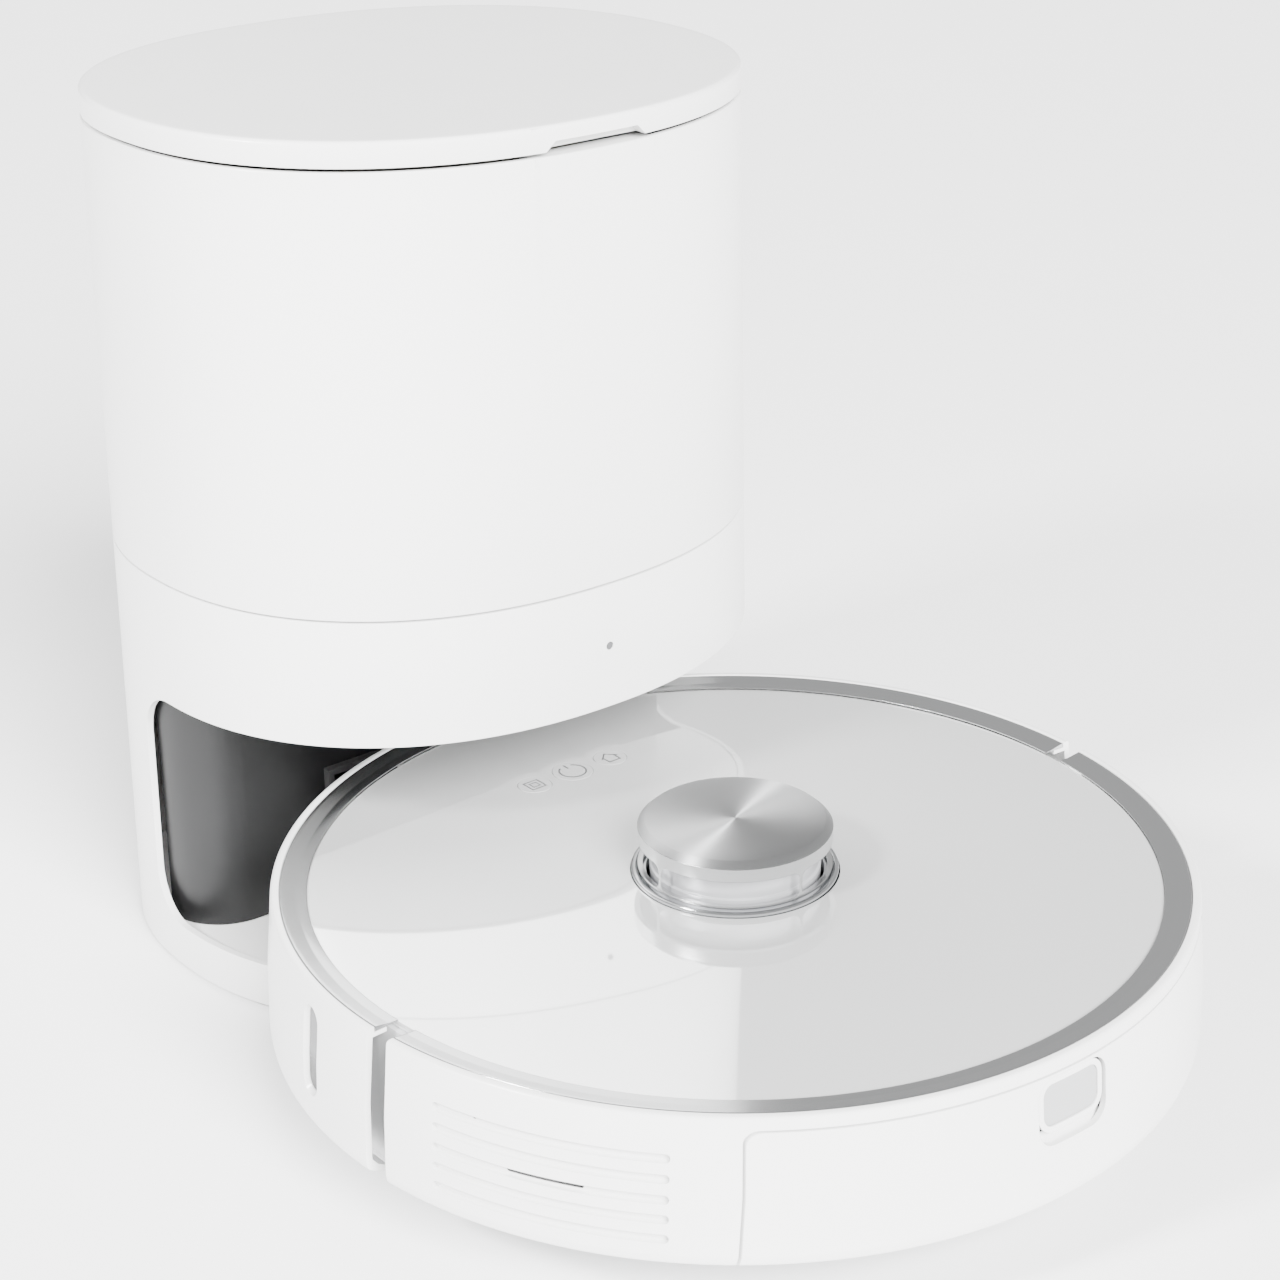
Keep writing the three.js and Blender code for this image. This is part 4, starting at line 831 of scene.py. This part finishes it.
def upper_shell():
    low = SEAM + SEAM_HALF
    section = [(0, low, 0.35), (0, UPPER_TOP, 0.7), (WALL, UPPER_TOP, 0.3), (WALL, low, 0.2)]
    shell = dock_ring("upper_shell", section)
    sill_front, sill_back = 1.5 - HALF_DEPTH, 11 - HALF_DEPTH
    sill_outline = [(-27, sill_front), (27, sill_front), (27, sill_back), (-27, sill_back)]
    sill = solid("sill", prism(sill_outline, UPPER_TOP - 3, UPPER_TOP - 0.4), DOCK)
    carve(shell, [sill], "UNION")
    carve(shell, [node_cutter("lid_hinge_pin", HINGE_ROOM)])
    knuckles = [knuckle(-26.0, -14.0), knuckle(14.0, 26.0)]
    finished(join(shell, *knuckles), "dock", "white_plastic", "white", "dock_upper_shell")


def lid():
    profile = [(WALL, LID_TOP - 2.6), (WALL, LID_LOW + 0.3), (WALL - 0.3, LID_LOW)]
    profile += [(0.4, LID_LOW), (0.1, LID_LOW + 0.15), (0, LID_LOW + 0.5), (0, LID_TOP - 2.4)]
    edge = 1.9
    for k in range(1, 7):
        angle = math.radians(15 * k)
        profile.append((edge * (1 - math.cos(angle)), LID_TOP - edge + edge * math.sin(angle)))
    profile += [(4, LID_TOP), (20, LID_TOP)]
    made = solid("lid", stack(profile, 360, oval), DOCK)
    front = -HALF_DEPTH
    boss_outline = [(-28, front + 1.9), (28, front + 1.9), (28, front + 11), (-28, front + 11)]
    boss = solid("boss", prism(boss_outline, LID_LOW + 0.2, LID_TOP - 0.5), DOCK)
    carve(made, [boss], "UNION")
    below, notch_top = LID_LOW - 3, LID_LOW + 3.8
    notch_half = [(24.5, below, 0), (22.5, LID_LOW, 1.2), (18.5, notch_top, 1.5)]
    notch = fillet([(-x, z, r) for x, z, r in notch_half] + notch_half[::-1])
    finger = solid("cutter", prism(notch, front - 10, front + 9, "Y"), DOCK)
    scoop_corners = [(front - 10, below, 0), (front + 7, below, 0)]
    scoop_corners += [(front + 6, notch_top, 5), (front - 10, notch_top, 0)]
    scoop = solid("cutter", prism(fillet(scoop_corners, 8), -40, 40, "X"), DOCK)
    carve(finger, [scoop], "INTERSECT")
    carve(made, [finger, node_cutter("lid_hinge_pin", HINGE_ROOM)])
    finished(join(made, knuckle(-13.2, 13.2)), "lid", "white_plastic", "white", "dock_lid")


def liner():
    corner = COLUMN_EDGE - LINER_FRONT
    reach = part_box("dock_recess_liner")[1].x / MM
    face = []
    for k in range(25):
        angle = math.pi + math.pi / 2 * k / 24
        face.append((-reach + corner * (1 + math.cos(angle)), COLUMN_EDGE + corner * math.sin(angle)))
    face += [(-x, y) for x, y in reversed(face)]
    back = [(x * (1 - LINER_THICKNESS / reach), y + LINER_THICKNESS) for x, y in reversed(face)]
    wall_piece = solid("recess_liner", prism(face + back, LEDGE + 0.3, OVERHANG - 0.3), DOCK)
    port = node_cutter("dock_port_seal", -2.5, (0, 20, 0))
    carve(wall_piece, [port])
    finished(wall_piece, "dock", "black_gloss", "liner", "dock_recess_liner")


def base():
    profile = [(WALL + 0.3, DOCK_BOTTOM), (WALL + 0.3, LEDGE - 0.3), (WALL + 0.6, LEDGE), (60, LEDGE)]
    slab = solid("dock_floor", stack(profile, 360, oval), DOCK)
    tongue_profile = [(0.2, DOCK_BOTTOM), (0.2, RAMP - 0.5), (0.8, RAMP), (60, RAMP)]
    tongue = solid("tongue", stack(tongue_profile, 360, oval), DOCK)
    carve(tongue, [pocket_cutter(0, 60, POCKET - 0.3)], "INTERSECT")
    carve(slab, [pocket_cutter(0, 60, POCKET - 0.2)])
    channel_end = middle("caster_fork").y / MM + 24
    channel_start = DOCK.y / MM - 140
    channel = box_cutter((-CHANNEL_HALF_WIDTH, channel_start, 0), (CHANNEL_HALF_WIDTH, channel_end, 30))
    whole = join(slab, tongue)
    carve(whole, [channel])
    finished(whole, "dock", "white_plastic", "white", "dock_base")


# ---------------------------------------------------------------- carried-over CAD pieces

CARRIED = {
    "tray": ["robot_chassis"],
    "dark": [
        "dustbin_body", "dustbin_lid", "battery", "fan_housing", "brush_housing", "brush_cover",
        "dust_transfer_duct", "wheel_arm_left", "wheel_arm_right", "caster_fork", "dock_deck",
        "dock_suction_duct", "blower_housing", "power_inlet",
    ],
    "grey_face": ["fan_impeller", "blower_impeller"],
    "bristle": ["main_brush", "side_brush"],
    "paper": ["dustbin_filter", "bag_collar", "exhaust_filter"],
    "rubber": [
        "drive_wheel_left", "drive_wheel_right", "caster_wheel", "dock_port_seal",
        "foot_left_front", "foot_right_front", "foot_left_rear", "foot_right_rear",
    ],
    "board": ["robot_circuit_board", "dock_circuit_board"],
    "brass": ["robot_contact_left", "robot_contact_right", "dock_contact_left", "dock_contact_right"],
    "chrome": ["lid_hinge_pin"],
    "white": ["exhaust_grille"],
    "window": ["status_led"],
}


def dress_cad_pieces():
    for material, nodes in CARRIED.items():
        for node in nodes:
            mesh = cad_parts[node].data
            mesh.materials.clear()
            mesh.materials.append(look[material])


def dust_bag():
    """A soft paper bag with bulging sides, creased corners and a folded gusset round its middle."""
    low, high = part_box("dust_bag")
    centre = (low + high) / 2
    half = (high - low) / 2 / MM
    steps, levels = 160, 60
    rings = []
    for j in range(levels + 1):
        v = -1 + 2 * j / levels
        swell = (1 - abs(v) ** 5) ** 0.35 if abs(v) < 1 else 0.0
        gusset = 3.2 * math.exp(-((v / 0.12) ** 2))
        ring = []
        for i in range(steps):
            angle = 2 * math.pi * i / steps
            c, s = math.cos(angle), math.sin(angle)
            crease = 1.4 * math.sin(9 * angle + 3 * v) * math.sin(7 * v + 2 * math.cos(3 * angle)) - 1.4
            x = (half.x - gusset + crease) * (0.25 + 0.75 * swell) * math.copysign(abs(c) ** 0.55, c)
            y = (half.y - gusset + crease) * (0.25 + 0.75 * swell) * math.copysign(abs(s) ** 0.55, s)
            z = v * (half.z - 1.5) + 1.2 * math.sin(5 * angle) * (1 - abs(v))
            ring.append((x, y, z))
        rings.append(ring)
    bag = solid("paper_bag", loft(rings, False), centre)
    finished(bag, "dock", "paper", "paper", "dust_bag")


# ---------------------------------------------------------------- floor, light and camera

CAMERA_FROM_ROBOT = Vector((-0.6047, -0.6925, 0.5735))
CAMERA_YAW = -40.45
CAMERA_PITCH = 23.66
FOCAL = 78.44
SIDE_SHIFT = -0.0515


def camera():
    data = bpy.data.cameras.new("camera")
    data.lens = FOCAL
    data.sensor_width = 36
    data.shift_x = SIDE_SHIFT
    made = bpy.data.objects.new("camera", data)
    made.location = ROBOT + CAMERA_FROM_ROBOT
    made.rotation_euler = (math.radians(90 - CAMERA_PITCH), 0, math.radians(CAMERA_YAW))
    bpy.context.scene.collection.objects.link(made)
    bpy.context.scene.camera = made


def softbox(name, position, target, size, power):
    data = bpy.data.lights.new(name, "AREA")
    data.shape = "RECTANGLE"
    data.size, data.size_y = size
    data.energy = power
    made = bpy.data.objects.new(name, data)
    made.location = position
    direction = Vector(target) - Vector(position)
    made.rotation_euler = direction.to_track_quat("-Z", "Y").to_euler()
    bpy.context.scene.collection.objects.link(made)


def sun(name, azimuth, elevation, spread, strength):
    """Light from far away, from an azimuth seen from above and an elevation, with soft shadows."""
    data = bpy.data.lights.new(name, "SUN")
    data.angle = math.radians(spread)
    data.energy = strength
    made = bpy.data.objects.new(name, data)
    a, e = math.radians(azimuth), math.radians(elevation)
    towards = Vector((math.cos(a) * math.cos(e), math.sin(a) * math.cos(e), math.sin(e)))
    made.rotation_euler = towards.to_track_quat("Z", "Y").to_euler()
    made.visible_glossy = False
    bpy.context.scene.collection.objects.link(made)


def studio():
    reach = 12
    mesh = bpy.data.meshes.new("studio_floor")
    corners = [(-reach, -reach, 0), (reach, -reach, 0), (reach, reach, 0), (-reach, reach, 0)]
    mesh.from_pydata(corners, [], [(0, 1, 2, 3)])
    floor = bpy.data.objects.new("studio_floor", mesh)
    bpy.context.scene.collection.objects.link(floor)
    mesh.materials.append(moulded("floor_paper", (0.97, 0.97, 0.97), 0.8, grain=0.02, spread=0.01))

    world = bpy.data.worlds.new("studio")
    bpy.context.scene.world = world
    world.use_nodes = True
    world.node_tree.nodes["Background"].inputs["Color"].default_value = (1, 1, 1, 1)
    world.node_tree.nodes["Background"].inputs["Strength"].default_value = 0.7

    sun("front_key", 257, 32, 35, 17.0)
    softbox("side_key", (-1.72, 0.18, 1.45), (0, -0.06, 0.1), (0.35, 0.35), 85)


camera()
studio()
bumper()
body_shell()
dustbin_panel()
release_button()
trim("front_trim", -BUMPER_END, 180 + BUMPER_END, "bumper", "bumper_trim")
trim("rear_trim", 180 + BODY_START, 360 - BODY_START, "robot", "robot_rear_trim")
plate()
for key_body, (key_node, key_icon) in TOUCH_KEYS.items():
    touch_key(key_body, key_node, key_icon)
turret()
lower_shell()
upper_shell()
lid()
liner()
base()
dust_bag()
dress_cad_pieces()
